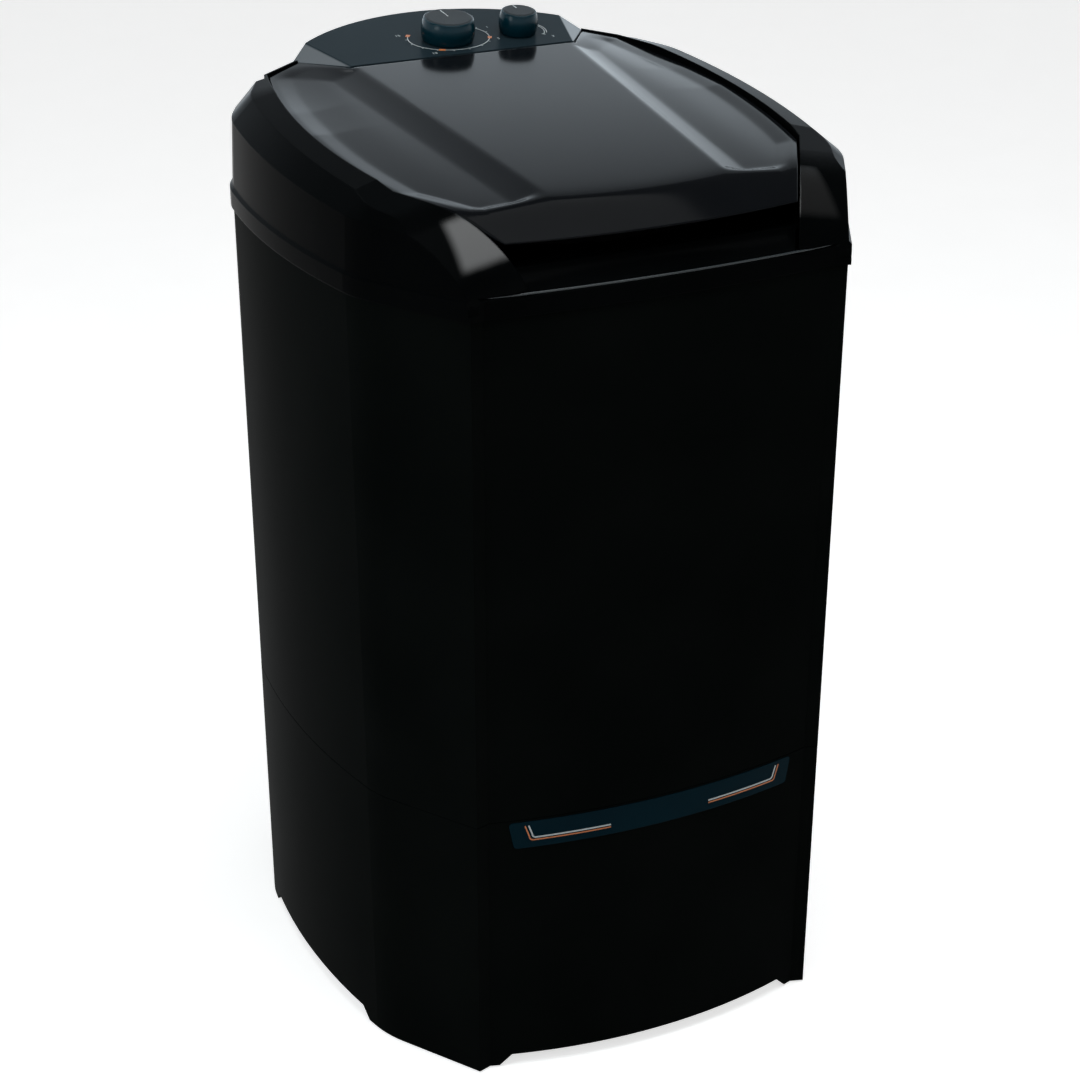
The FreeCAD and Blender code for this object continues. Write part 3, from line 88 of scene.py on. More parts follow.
def gloss_by_place(material, weights, low, high, far_gloss, inner=-2.0, outer=-1.0):
    """Lets the gloss change with place: the weighted sum of half width, depth and height takes it smoothly
    from the material's own strength at low to far_gloss at high, and only as far as the half width has
    gone from inner to outer. Where these two aren't given, every half width is past both."""
    nodes = material.node_tree.nodes
    links = material.node_tree.links
    gloss = nodes["Principled BSDF"].inputs["Specular IOR Level"]
    place = nodes.new("ShaderNodeTexCoord")
    apart = nodes.new("ShaderNodeSeparateXYZ")
    links.new(place.outputs["Object"], apart.inputs["Vector"])
    half = nodes.new("ShaderNodeMath")
    half.operation = "ABSOLUTE"
    links.new(apart.outputs["X"], half.inputs[0])
    folded = nodes.new("ShaderNodeCombineXYZ")
    links.new(half.outputs[0], folded.inputs["X"])
    links.new(apart.outputs["Y"], folded.inputs["Y"])
    links.new(apart.outputs["Z"], folded.inputs["Z"])
    total = nodes.new("ShaderNodeVectorMath")
    total.operation = "DOT_PRODUCT"
    total.inputs[1].default_value = weights
    links.new(folded.outputs["Vector"], total.inputs[0])
    shift = nodes.new("ShaderNodeMapRange")
    shift.interpolation_type = "SMOOTHSTEP"
    shift.inputs["From Min"].default_value = low
    shift.inputs["From Max"].default_value = high
    links.new(total.outputs["Value"], shift.inputs["Value"])
    spread = nodes.new("ShaderNodeMapRange")
    spread.interpolation_type = "SMOOTHSTEP"
    spread.inputs["From Min"].default_value = inner
    spread.inputs["From Max"].default_value = outer
    links.new(half.outputs[0], spread.inputs["Value"])
    both = nodes.new("ShaderNodeMath")
    both.operation = "MULTIPLY"
    links.new(shift.outputs["Result"], both.inputs[0])
    links.new(spread.outputs["Result"], both.inputs[1])
    strength = nodes.new("ShaderNodeMapRange")
    strength.inputs["To Min"].default_value = gloss.default_value
    strength.inputs["To Max"].default_value = far_gloss
    links.new(both.outputs[0], strength.inputs["Value"])
    links.new(strength.outputs["Result"], gloss)


def coat(names, material):
    """Gives each named CAD node this one material."""
    for name in names:
        mesh = frame["nodes"][name].data
        mesh.materials.clear()
        mesh.materials.append(material)


cabinet_black = moulded_plastic("cabinet_black", dark=(0.0021, 0.0028, 0.0026),
                                pale=(0.0036, 0.0044, 0.0041), smooth=0.32, dull=0.42, grain=1400.0,
                                depth=0.00004, gloss=0.0016, edge=0.0012)
rear_cover_black = moulded_plastic("rear_cover_black", dark=(0.0042, 0.0050, 0.0050),
                                   pale=(0.0060, 0.0070, 0.0070), smooth=0.45, dull=0.55, grain=900.0,
                                   depth=0.00006, gloss=0.020, edge=0.0012)
coat(["base_skirt", "cabinet_shell"], cabinet_black)
coat(["rear_cover"], rear_cover_black)


# Screws, pins and shafts: zinc-plated steel, with plain screw heads on the rear cover, the seam flange,
# the chassis and the console. The plating is bright with a faint cloudy bloom.
def plated_metal(name, dark, pale, smooth, dull, streak):
    """Metal: a noise stretched along Z clouds the colour from dark to pale and the roughness from smooth
    to dull, as plating, casting skin or rolled sheet does. Streak is the stretch."""
    material = bpy.data.materials.new(name)
    material.use_nodes = True
    nodes = material.node_tree.nodes
    links = material.node_tree.links
    shader = nodes["Principled BSDF"]
    place = nodes.new("ShaderNodeTexCoord")
    stretch = nodes.new("ShaderNodeMapping")
    stretch.inputs["Scale"].default_value = (1.0, 1.0, streak)
    links.new(place.outputs["Object"], stretch.inputs["Vector"])
    cloud = nodes.new("ShaderNodeTexNoise")
    cloud.inputs["Scale"].default_value = 90.0
    cloud.inputs["Detail"].default_value = 6.0
    links.new(stretch.outputs["Vector"], cloud.inputs["Vector"])
    ramp = nodes.new("ShaderNodeValToRGB")
    ramp.color_ramp.elements[0].color = (*dark, 1.0)
    ramp.color_ramp.elements[1].color = (*pale, 1.0)
    links.new(cloud.outputs["Fac"], ramp.inputs["Fac"])
    links.new(ramp.outputs["Color"], shader.inputs["Base Color"])
    polish = nodes.new("ShaderNodeMapRange")
    polish.inputs["To Min"].default_value = smooth
    polish.inputs["To Max"].default_value = dull
    links.new(cloud.outputs["Fac"], polish.inputs["Value"])
    links.new(polish.outputs["Result"], shader.inputs["Roughness"])
    shader.inputs["Metallic"].default_value = 1.0
    return material


zinc_steel = plated_metal("zinc_steel", dark=(0.42, 0.43, 0.45), pale=(0.66, 0.66, 0.64), smooth=0.22,
                          dull=0.42, streak=1.0)
coat(["cabinet_screws", "rear_cover_screws", "chassis_screws", "housing_screws", "motor_screws",
      "console_screws", "pulsator_screw", "hinge_pins", "pulsator_shaft", "motor_shaft", "pulley_nut",
      "timer_shaft", "selector_shaft"], zinc_steel)


# Foot pads, motor mounts, drive belt and shaft seal: black rubber, as the lid's bumpers are too.
# Moulded in small tools, so the skin is dull with a faint chalky bloom, and they are pressed in place.
rubber_black = moulded_plastic("rubber_black", dark=(0.006, 0.006, 0.006), pale=(0.020, 0.020, 0.019),
                               smooth=0.62, dull=0.82, grain=900.0, depth=0.00015, gloss=0.25, edge=0.0006)
coat(["foot_pads", "motor_mounts", "drive_belt", "shaft_seal"], rubber_black)


# Chassis plate, hinge brackets and motor body: pressed sheet steel with a grey primer coat.
# The plate is screwed onto four posts of the base skirt and carries the motor and the bearing housing.
bracket_paint = moulded_plastic("bracket_paint", dark=(0.10, 0.105, 0.11), pale=(0.17, 0.175, 0.18),
                                smooth=0.42, dull=0.58, grain=500.0, depth=0.00010, gloss=0.4, edge=0.0005)
coat(["chassis_plate", "hinge_brackets", "motor_body"], bracket_paint)


# Bearing housing, pulleys and capacitor can: aluminium with a sandy, clouded skin.
# The bushes in the housing are sintered bronze, pressed in from both ends round the pulsator's shaft.
cast_alloy = plated_metal("cast_alloy", dark=(0.34, 0.35, 0.36), pale=(0.55, 0.55, 0.55), smooth=0.40,
                          dull=0.62, streak=1.0)
bush_bronze = plated_metal("bush_bronze", dark=(0.30, 0.16, 0.06), pale=(0.50, 0.30, 0.12), smooth=0.35,
                           dull=0.55, streak=0.2)
coat(["bearing_housing", "driven_pulley", "motor_pulley", "capacitor"], cast_alloy)
coat(["upper_bush", "lower_bush"], bush_bronze)


# Wash tub and pulsator: a ribbed grey polypropylene tub with a white turning plate in its floor.
# Both have the soft sheen of polished tools, and the tub hangs by its flange on the cabinet's rim.
tub_grey = moulded_plastic("tub_grey", dark=(0.46, 0.48, 0.49), pale=(0.54, 0.56, 0.57),
                           smooth=0.26, dull=0.36, grain=600.0, depth=0.00003, gloss=0.4, edge=0.0010)
pulsator_white = moulded_plastic("pulsator_white", dark=(0.66, 0.67, 0.67), pale=(0.74, 0.75, 0.75),
                                 smooth=0.22, dull=0.32, grain=600.0, depth=0.00003, gloss=0.45, edge=0.0015)
coat(["wash_tub"], tub_grey)
coat(["pulsator"], pulsator_white)


# Drain pipe, cord gland, timer unit, switch body and capacitor clip: plain fittings moulded in one grey.
# The drain pipe is clamped under the tub and leaves through the back wall as a hose spigot.
drain_plastic = moulded_plastic("drain_plastic", dark=(0.055, 0.058, 0.060), pale=(0.085, 0.088, 0.090),
                                smooth=0.38, dull=0.50, grain=800.0, depth=0.00006, gloss=0.35, edge=0.0006)
coat(["drain_pipe", "cord_gland", "timer_unit", "selector_switch", "capacitor_clip"], drain_plastic)


# Top cover: the black moulding that caps the cabinet, with its band, faceted arms and front grip.
# Glossier polypropylene than the cabinet's, clipped over its rim. The inner half of the dive at the front
# of each arm is polished. A slim round bead runs along the band's front edge under the grip, in a dark grey
# much lighter than the cover's black: a painted highlight for the light line along that edge.
cover_black = moulded_plastic("cover_black", dark=(0.0010, 0.0013, 0.0014), pale=(0.0018, 0.0022, 0.0024),
                              smooth=0.16, dull=0.22, grain=1500.0, depth=0.00002, gloss=0.0045, edge=0.0020)
gloss_by_place(cover_black, weights=(0.2, -0.768, 1.0), low=1.1228, high=1.1262, far_gloss=0.50,
               inner=0.207, outer=0.195)
coat(["top_cover"], cover_black)

band_height = 0.834
front_apex = (0.303, 0.294)
front_corner_x = (0.183, 0.189)
front_corner_y = (0.2725, 0.2835)


def front_wall(x, z):
    """Depth of the bowed front wall: a circle through both corners and the apex, which move in a straight
    line with height from the floor to the band."""
    share = z / band_height
    apex = front_apex[0] + (front_apex[1] - front_apex[0]) * share
    corner_x = front_corner_x[0] + (front_corner_x[1] - front_corner_x[0]) * share
    corner_y = front_corner_y[0] + (front_corner_y[1] - front_corner_y[0]) * share
    bow = apex - corner_y
    radius = (corner_x ** 2 + bow ** 2) / (2 * bow)
    return -(apex - radius + np.sqrt(radius ** 2 - x ** 2))


def joined_mesh(name, points, faces):
    """One mesh from several lists of points and of faces, whose corners count on from list to list."""
    mesh = bpy.data.meshes.new(name)
    mesh.from_pydata(np.concatenate(points), [], np.concatenate(faces))
    mesh.validate()
    return mesh


def grids_mesh(name, grids):
    """One mesh from several grids of points: each cell of each grid becomes a four-sided face."""
    points = []
    faces = []
    start = 0
    for grid in grids:
        rows, columns = grid.shape[:2]
        index = np.arange(rows * columns).reshape(rows, columns) + start
        cells = [index[:-1, :-1], index[1:, :-1], index[1:, 1:], index[:-1, 1:]]
        faces.append(np.stack(cells, axis=-1).reshape(-1, 4))
        points.append(grid.reshape(-1, 3))
        start += rows * columns
    return joined_mesh(name, points, faces)


def add_piece(name, mesh, material, body):
    """Links a finished mesh as a piece of the object, riding on a body and carrying the given material."""
    piece = bpy.data.objects.new(name, mesh)
    bpy.context.scene.collection.objects.link(piece)
    mesh.materials.append(material)
    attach(piece, body)
    return piece


def shade_smooth(mesh):
    """Lets the surface shade across its faces."""
    mesh.polygons.foreach_set("use_smooth", np.ones(len(mesh.polygons), dtype=bool))
    return mesh


def front_bead(half_width, height, proud, radius, stations, sides):
    """Round bead along the front wall: the middle line keeps proud of the wall at the given height, and the
    section is a circle of the given radius. Both ends shrink to a point, by the root of what the share of
    the half width, to the power of 16, leaves of one."""
    x = np.linspace(-half_width, half_width, stations)[:, None]
    swell = np.sqrt(np.clip(1.0 - (x / half_width) ** 16, 0.0, 1.0)) * radius
    turn = np.linspace(0.0, 2.0 * np.pi, sides + 1)
    y = front_wall(x, band_height) - proud + swell * np.cos(turn)
    z = height + swell * np.sin(turn)
    return np.stack([np.broadcast_to(x, y.shape), y, z], axis=-1)


# The bead's grey, some twenty times lighter than the cover's black, is a painted highlight standing in for
# the light line on the band's front edge; its round shape and gloss also catch the lamps.
bead_painted_highlight = moulded_plastic("bead_painted_highlight", dark=(0.020, 0.026, 0.029), pale=(0.030, 0.037, 0.040),
                             smooth=0.16, dull=0.22, grain=1500.0, depth=0.00001, gloss=0.30, edge=0.0)
bead_grid = front_bead(half_width=0.186, height=0.8552, proud=0.0012, radius=0.0012, stations=65, sides=12)
bead_mesh = shade_smooth(grids_mesh("band_highlight_bead", [bead_grid]))
add_piece("band_highlight_bead", bead_mesh, bead_painted_highlight, "machine")


# Lid: black polished moulding with a raised middle and a soft-edged pocket each side, on two steel pins.
# One moulded shell three millimetres thick: the front band leans back into the top over a rounded edge,
# the rim turns down into a skirt, and four knuckles under the rear edge carry the hinge.
lid_black = moulded_plastic("lid_black", dark=(0.0034, 0.0040, 0.0050), pale=(0.0048, 0.0056, 0.0068),
                            smooth=0.10, dull=0.15, grain=160.0, depth=0.00001, gloss=0.028, edge=0.0008)
gloss_by_place(lid_black, weights=(0.0, 1.0, 0.0), low=-0.30, high=0.25, far_gloss=0.100)

hinge_y = 0.154
hinge_z = 0.9525
bracket_x = 0.094
lid_low = 0.898
lid_front = -0.280
lid_corner = np.array([0.157, -0.264])
lid_kink = np.array([0.220, -0.156])
lid_side = 0.236
lid_ear = np.array([0.206, 0.212])
lid_tip = np.array([0.1691, 0.222])
lid_rear = np.array([0.13233, 0.1673])
lid_thick = 0.003
band_lean = 1.2
corner_lean = 1.9
chamfer_run = (lid_kink[0] - lid_corner[0]) / (lid_kink[1] - lid_corner[1])


def circle_through(a, b, c):
    """Middle and radius of the circle through three points: the two chords' square bisectors meet there."""
    rows = 2.0 * np.array([b - a, c - a])
    middle = np.linalg.solve(rows, np.array([b @ b - a @ a, c @ c - a @ a]))
    return middle, np.linalg.norm(a - middle)


flank_middle, flank_radius = circle_through(lid_kink, np.array([lid_side, 0.0]), lid_ear)


def flank_reach(run):
    """Half chord of the flank's circle at the given run from its middle."""
    return np.sqrt(np.clip(flank_radius ** 2 - run ** 2, 0.0, None))


def lid_front_line(x):
    """Front edge of the lid at half width x: a shallow bow, then the straight chamfer, then the flank."""
    bow = lid_front + (lid_corner[1] - lid_front) * (x / lid_corner[0]) ** 2
    chamfer = lid_corner[1] + (x - lid_corner[0]) / chamfer_run
    flank = flank_middle[1] - flank_reach(x - flank_middle[0])
    return np.where(x < lid_corner[0], bow, np.where(x < lid_kink[0], chamfer, flank))


def lid_rear_line(x):
    """Rear edge at half width x: straight along the console, back along its end, round the ear to the
    flank."""
    reach = [0.0, lid_rear[0], lid_tip[0], lid_ear[0]]
    edge = np.interp(x, reach, [lid_rear[1], lid_rear[1], lid_tip[1], lid_ear[1]])
    return np.where(x > lid_ear[0], flank_middle[1] + flank_reach(x - flank_middle[0]), edge)


def soft_low(a, b, ease):
    """The lower of two values, rounded where they cross: half their sum less half the root of their squared
    difference and the squared ease."""
    return (a + b - np.sqrt((a - b) ** 2 + ease ** 2)) / 2.0


def soft_high(a, b, ease):
    """The higher of two values, rounded where they cross as in soft_low."""
    return (a + b + np.sqrt((a - b) ** 2 + ease ** 2)) / 2.0


def soft_ramp(run, length, ease):
    """Ramp from 0 to 1 over the length with both its ends rounded by the ease."""
    start = np.sqrt(run ** 2 + ease ** 2)
    end = np.sqrt((run - length) ** 2 + ease ** 2)
    return (start - end + length) / (2.0 * length)


console_edge = 0.1698
console_edge_height = 0.965
top_slope = 0.0929
middle_start = -0.290
middle_half = 0.091
middle_widening = 0.042 / 0.530
fall_places = [-0.290, -0.130, 0.020, 0.090, 0.160, 0.240]
fall_slopes = [0.08, 0.09, 0.10, 0.13, 0.18, 0.24]
fall_ease = 0.002
bend_start = 0.158
bend_run = 0.83
ear_run = 10.0
pocket_rim = 0.006
pocket_front = -0.228
pocket_rear = 0.214
pocket_deep = 0.0092
pocket_shallow = 0.0032
pocket_ease = 0.002
highest_rise = 0.2
edge_ease = 0.007


def pocket_share(x, y, half):
    """How far the pocket has gone down at a place, from 0 outside it to 1 on its floor: the product of four
    ramps, in from the middle's edge, from the rim, from the front and from the rear. Behind the bend the
    inner edge turns outwards."""
    lag = np.clip(y - bend_start, 0.0, None)
    inner = x - half + middle_widening * lag - lag * bend_run
    flank = flank_middle[0] + flank_reach(y - flank_middle[1])
    chamfer = lid_corner[0] + (y - lid_corner[1]) * chamfer_run
    ear = lid_ear[0] + np.clip(lid_ear[1] - y, 0.0, None) * ear_run
    outer = np.minimum(np.minimum(flank, chamfer), ear) - pocket_rim - x
    across = soft_ramp(inner, length=0.029, ease=0.0015) * soft_ramp(outer, length=0.018, ease=0.0020)
    front = soft_ramp(y - pocket_front, length=0.013, ease=0.0025)
    return across * front * soft_ramp(pocket_rear - y, length=0.016, ease=0.0030)


def band_rise(x, y):
    """Rise of the front band over the lid's foot. Going up, its bowed line moves back by band_lean in the
    middle and by corner_lean at the corners, which spread along the chamfer, so the rise at a place is
    found by a dozen rounds from none."""
    rise = np.zeros_like(y)
    for _ in range(12):
        back = lid_corner[1] - lid_front + (corner_lean - band_lean) * rise
        share = x / (lid_corner[0] + chamfer_run * corner_lean * rise)
        rise = np.clip((y - lid_front - back * share ** 2) / band_lean, 0.0, highest_rise)
    return rise


def lid_height(x, y):
    """Top of the lid at half width x. The middle rises straight to the rear; beside it the top falls by a
    slope that grows to the rear, and the pocket is lower still: its floor keeps level with the middle's edge
    until the rim is only just above it. The lower of this top and the front band, rounded, is the lid."""
    middle = console_edge_height + (y - console_edge) * top_slope
    half = middle_half + (y - middle_start) * middle_widening
    fall = np.interp(y, fall_places, fall_slopes)
    beyond = x - half
    level = pocket_deep - fall * np.clip(beyond, 0.0, None)
    depth = soft_high(level, pocket_shallow, pocket_ease)
    top = middle - fall * soft_high(beyond, 0.0, fall_ease) - depth * pocket_share(x, y, half)
    return soft_low(top, lid_low + band_rise(x, y), edge_ease)


nose_radius = 0.017
nose_half = 0.1348
skirt_drop = 0.001
skirt_slope = 0.075
window_half = 0.0205
window_front = 0.16


def lid_skin(columns, rows):
    """Lid's outer face: columns across, and rows from the front edge to the rear edge of each column. The
    rear edge is rounded about the hinge, and one more ring of points turns the rim down to the skirt's
    foot, which stays up at the windows where the hinge brackets pass."""
    x, share = np.meshgrid(columns, rows, indexing="ij")
    half = np.abs(x)
    front = lid_front_line(half)
    y = front + share * (lid_rear_line(half) - front)
    z = lid_height(half, y)
    nose = hinge_z + np.sqrt(np.clip(nose_radius ** 2 - (y - hinge_y) ** 2, 0.0, None))
    z = np.where((y > hinge_y) & (half < nose_half), np.minimum(z, nose), z)
    x, y, z = (np.pad(value, 1, mode="edge") for value in (x, y, z))
    foot = lid_low - skirt_drop + (y - lid_front) * skirt_slope
    window = (np.abs(np.abs(x) - bracket_x) < window_half) & (y > window_front)
    foot = np.where(window, z - skirt_drop, foot)
    rim = np.zeros(z.shape, dtype=bool)
    rim[[0, -1], :] = True
    rim[:, [0, -1]] = True
    return np.stack([x, y, np.where(rim, np.minimum(foot, z - skirt_drop), z)], axis=-1)


flank_span = 0.030
window_step = 0.0001
band_share = 0.14
rear_share = 0.93
flank_columns = lid_side - flank_span * np.linspace(1.0, 0.02, 18) ** 2
window_columns = [bracket_x + side * window_half + step for side in (-1.0, 1.0)
                  for step in (-window_step, window_step)]
lid_columns = np.unique(np.concatenate([np.linspace(0.0, lid_ear[0], 74), flank_columns, window_columns,
                                        [lid_corner[0], lid_kink[0], lid_rear[0], lid_tip[0]]]))
lid_columns = np.concatenate([-lid_columns[:0:-1], lid_columns])
lid_rows = np.concatenate([np.linspace(0.0, band_share, 44), np.linspace(band_share, rear_share, 92)[1:],
                           np.linspace(rear_share, 1.0, 18)[1:]])
lid_mesh = shade_smooth(grids_mesh("lid_shell", [lid_skin(lid_columns, lid_rows)]))
lid_shell = add_piece("lid_shell", lid_mesh, lid_black, "lid")
shell_wall = lid_shell.modifiers.new("shell", "SOLIDIFY")
shell_wall.thickness = lid_thick
shell_wall.offset = -1.0
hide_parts("lid")

knuckle_radius = 0.007
knuckle_top = 0.9615
knuckle_middle = 0.9545
knuckle_width = 0.010
knuckle_start = 0.008


def lid_knuckle(first, last):
    """Hinge knuckle: a round eye with straight cheeks up to the lid, carried across from first to last, with
    both ends closed on their middle."""
    turn = np.linspace(np.pi, 2.0 * np.pi, 17)
    across = knuckle_radius * np.concatenate([[-1.0], np.cos(turn), [1.0, -1.0]])
    z = np.concatenate([[knuckle_top], hinge_z + knuckle_radius * np.sin(turn), [knuckle_top, knuckle_top]])
    ends = np.array([0.0, 1.0, 1.0, 0.0])[:, None]
    x = np.broadcast_to(np.array([first, first, last, last])[:, None], (4, z.size))
    return np.stack([x, hinge_y + across * ends, knuckle_middle + (z - knuckle_middle) * ends], axis=-1)


bumper_x = 0.110
bumper_y = -0.246
bumper_radius = 0.005
bumper_chamfer = 0.0006
bumper_foot = 0.8903
bumper_top = 0.9088


def lid_bumper(side):
    """Rubber bumper: a round stub with a chamfered foot under the front corner of the lid, closed at both
    ends on its middle."""
    turn = np.linspace(0.0, 2.0 * np.pi, 25)
    reach = np.array([0.0, bumper_radius - bumper_chamfer, bumper_radius, bumper_radius, 0.0])[:, None]
    z = np.array([bumper_foot, bumper_foot, bumper_foot + bumper_chamfer, bumper_top, bumper_top])[:, None]
    return np.stack([side * bumper_x + reach * np.cos(turn), bumper_y + reach * np.sin(turn),
                     np.broadcast_to(z, (5, turn.size))], axis=-1)


stubs_mesh = grids_mesh("lid_stubs", [lid_bumper(-1.0), lid_bumper(1.0)])
lid_stubs = add_piece("lid_stubs", stubs_mesh, rubber_black, "lid")
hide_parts("lid_bumpers")

knuckle_firsts = [middle + start for middle in (-bracket_x, bracket_x)
                  for start in (-knuckle_start - knuckle_width, knuckle_start)]
knuckles = [lid_knuckle(first, first + knuckle_width) for first in knuckle_firsts]
add_piece("lid_knuckles", grids_mesh("lid_knuckles", knuckles), lid_black, "lid")


# Console: slate-blue moulding behind the lid with a tilted top and faceted ends.
# Its top is dull from a finely blasted tool and its facets are polished; it is screwed down from under
# the rear deck.
console_slate = moulded_plastic("console_slate", dark=(0.0100, 0.0185, 0.0240), pale=(0.0140, 0.0245, 0.0310),
                                smooth=0.26, dull=0.34, grain=1800.0, depth=0.00003, gloss=0.42, edge=0.0012)
gloss_by_place(console_slate, weights=(0.0, -0.14054, 1.0), low=0.93964, high=0.94094, far_gloss=0.012)
coat(["console_panel"], console_slate)


# Dial print: thin white scale arcs, ticks and plain numbers with small orange blocks on the console's top.
# Pad-printed ink about a tenth of a millimetre thick beside each knob, in the plane the knobs turn in.
def printed_ink(name, colour, worn):
    """Ink film: its colour drifts to the worn colour in fine specks, and so does its roughness."""
    return moulded_plastic(name, dark=worn, pale=colour, smooth=0.38, dull=0.50, grain=2500.0, depth=0.00001,
                           gloss=0.35, edge=0.00005)


white_ink = printed_ink("white_ink", colour=(0.56, 0.60, 0.61), worn=(0.44, 0.48, 0.49))
orange_ink = printed_ink("orange_ink", colour=(0.60, 0.20, 0.075), worn=(0.48, 0.14, 0.045))

ink_thick = 0.00012
dials = {joint["name"]: joint for joint in frame["joints"]}
timer_dial = np.array(dials["timer_turn"]["pos_m"])
selector_dial = np.array(dials["selector_turn"]["pos_m"])
dial_up = np.array(dials["timer_turn"]["axis"])
dial_up = dial_up / np.linalg.norm(dial_up)
dial_right = np.array([1.0, 0.0, 0.0])
dial_rear = np.cross(dial_up, dial_right)


def on_dial(centre, across, along, lift):
    """Point = dial centre + across times right + along times rear + lift times the dial's normal."""
    return (centre + np.multiply.outer(across, dial_right) + np.multiply.outer(along, dial_rear)
            + np.multiply.outer(lift, dial_up))


def oval_strip(centre, oval, inner, outer, first, last, steps, lift):
    """Flat strip along part of an oval: the angle runs from first to last, in degrees from the right round by
    the rear, and the strip's two edges lie inner and outer beyond the oval. The oval is given by the place of
    its middle from the dial's centre and by its two half widths."""
    degrees = np.linspace(first, last, steps + 1)
    angle, reach = np.meshgrid(np.radians(degrees), [inner, outer], indexing="ij")
    across = oval[0] + (oval[2] + reach) * np.cos(angle)
    along = oval[1] + (oval[3] + reach) * np.sin(angle)
    return on_dial(centre, across, along, np.full_like(angle, lift))


def thicken(piece, thick):
    """Turns a flat film into a closed one by growing it down into what carries it."""
    wall = piece.modifiers.new("film", "SOLIDIFY")
    wall.thickness = thick
    wall.offset = -1.0


def print_film(name, mesh, ink, thick):
    """Links a printed film on the console, as thick as given."""
    thicken(add_piece(name, mesh, ink, "machine"), thick)


def numbers_mesh(name, centre, labels, size):
    """Plain numbers as one mesh: each number's flat outline is filled with triangles, and its points are laid
    on the dial about the place that goes with it."""
    points = []
    faces = []
    start = 0
    for number, across, along in labels:
        figures = bpy.data.curves.new(name, "FONT")
        figures.body = number
        figures.size = size
        figures.align_x = "CENTER"
        figures.align_y = "CENTER"
        holder = bpy.data.objects.new(name, figures)
        flat = bpy.data.meshes.new_from_object(holder)
        flat.calc_loop_triangles()
        corners = np.empty(len(flat.loop_triangles) * 3, np.int32)
        flat.loop_triangles.foreach_get("vertices", corners)
        outline = np.empty(len(flat.vertices) * 3, np.float32)
        flat.vertices.foreach_get("co", outline)
        outline = outline.reshape(-1, 3)
        points.append(on_dial(centre, outline[:, 0] + across, outline[:, 1] + along,
                              np.full(len(outline), ink_thick)))
        faces.append(corners.reshape(-1, 3) + start)
        start += len(outline)
        bpy.data.objects.remove(holder)
        bpy.data.curves.remove(figures)
        bpy.data.meshes.remove(flat)
    return joined_mesh(name, points, faces)


arc_line = 0.0008
number_size = 0.0062
timer_oval = (0.003, 0.004, 0.0455, 0.0355)
timer_first = 148.0
timer_last = 412.0
timer_tick = (0.0016, 0.0032)
tick_half = 0.5
timer_marks = [oval_strip(timer_dial, timer_oval, 0.0, arc_line, timer_first, timer_last, steps=88,
                          lift=ink_thick)]
for degrees in np.linspace(timer_first, timer_last, 13):
    timer_marks.append(oval_strip(timer_dial, timer_oval, *timer_tick, degrees - tick_half,
                                  degrees + tick_half, steps=1, lift=ink_thick))
print_film("timer_scale", grids_mesh("timer_scale", timer_marks), white_ink, 2 * ink_thick)

block_edges = (-0.0014, 0.0030)
block_half = 4.5
timer_blocks = [oval_strip(timer_dial, timer_oval, *block_edges, degrees - block_half, degrees + block_half,
                           steps=4, lift=2 * ink_thick)
                for degrees in (152.0, 242.0, 341.0)]
print_film("timer_blocks", grids_mesh("timer_blocks", timer_blocks), orange_ink, 3 * ink_thick)

timer_labels = [("0", 0.0370, 0.0405), ("5", 0.0550, -0.0130), ("10", -0.0300, -0.0340),
                ("15", -0.0480, 0.0250)]
print_film("timer_numbers", numbers_mesh("timer_numbers", timer_dial, timer_labels, number_size), white_ink,
           2 * ink_thick)

selector_oval = (0.002, 0.003, 0.0290, 0.0260)
selector_first = -38.0
selector_last = 52.0
second_arc = 0.0024
second_inset = 12.0
selector_stop = (-0.0016, 0.0026)
stop_half = 1.0
selector_marks = [oval_strip(selector_dial, selector_oval, 0.0, arc_line, selector_first, selector_last,
                             steps=32, lift=ink_thick),
                  oval_strip(selector_dial, selector_oval, second_arc, second_arc + arc_line,
                             selector_first + second_inset, selector_last - second_inset, steps=24,
                             lift=ink_thick)]
for degrees in (selector_first, selector_last):
    selector_marks.append(oval_strip(selector_dial, selector_oval, *selector_stop, degrees - stop_half,
                                     degrees + stop_half, steps=1, lift=ink_thick))
print_film("selector_scale", grids_mesh("selector_scale", selector_marks), white_ink, 2 * ink_thick)

selector_labels = [("1", -0.0255, 0.0245), ("2", 0.0240, 0.0290), ("3", 0.0330, -0.0215)]
print_film("selector_numbers", numbers_mesh("selector_numbers", selector_dial, selector_labels, number_size),
           white_ink, 2 * ink_thick)


# Knobs: barrel-sided turning caps in dark teal with a satin grey disc let into the top.
# Two-shot mouldings pushed onto the shafts of the timer and of the selector switch; a white line on
# each disc points at the scale.
knob_teal = moulded_plastic("knob_teal", dark=(0.0006, 0.0180, 0.0275), pale=(0.0010, 0.0235, 0.0355),
                            smooth=0.16, dull=0.24, grain=1200.0, depth=0.00002, gloss=0.13, edge=0.0012)
knob_cap_grey = moulded_plastic("knob_cap_grey", dark=(0.030, 0.036, 0.040), pale=(0.042, 0.049, 0.054),
                                smooth=0.36, dull=0.46, grain=2200.0, depth=0.00004, gloss=0.03, edge=0.0010)
coat(["timer_knob", "selector_knob"], knob_teal)
coat(["timer_cap", "selector_cap"], knob_cap_grey)

pointer_sink = 0.0001


def pointer_line(centre, reach, length, height, width, degrees, crown):
    """Raised half-round bar on a knob's disc: the length runs outwards along the angle to the reach, and the
    section is a half circle flattened to the crown."""
    along, turn = np.meshgrid(np.linspace(reach - length, reach, 12), np.linspace(0.0, np.pi, 9),
                              indexing="ij")
    side = np.cos(turn) * width / 2
    lift = height + np.sin(turn) * crown
    cos = np.cos(np.radians(degrees))
    sin = np.sin(np.radians(degrees))
    return on_dial(centre, along * cos - side * sin, along * sin + side * cos, lift)


def cap_height(node, centre):
    """Height of a cap's flat top over the dial's plane: the largest reach of its points along the normal."""
    mesh = frame["nodes"][node].data
    points = np.empty(len(mesh.vertices) * 3, np.float32)
    mesh.vertices.foreach_get("co", points)
    return float(np.max((points.reshape(-1, 3) - centre) @ dial_up))


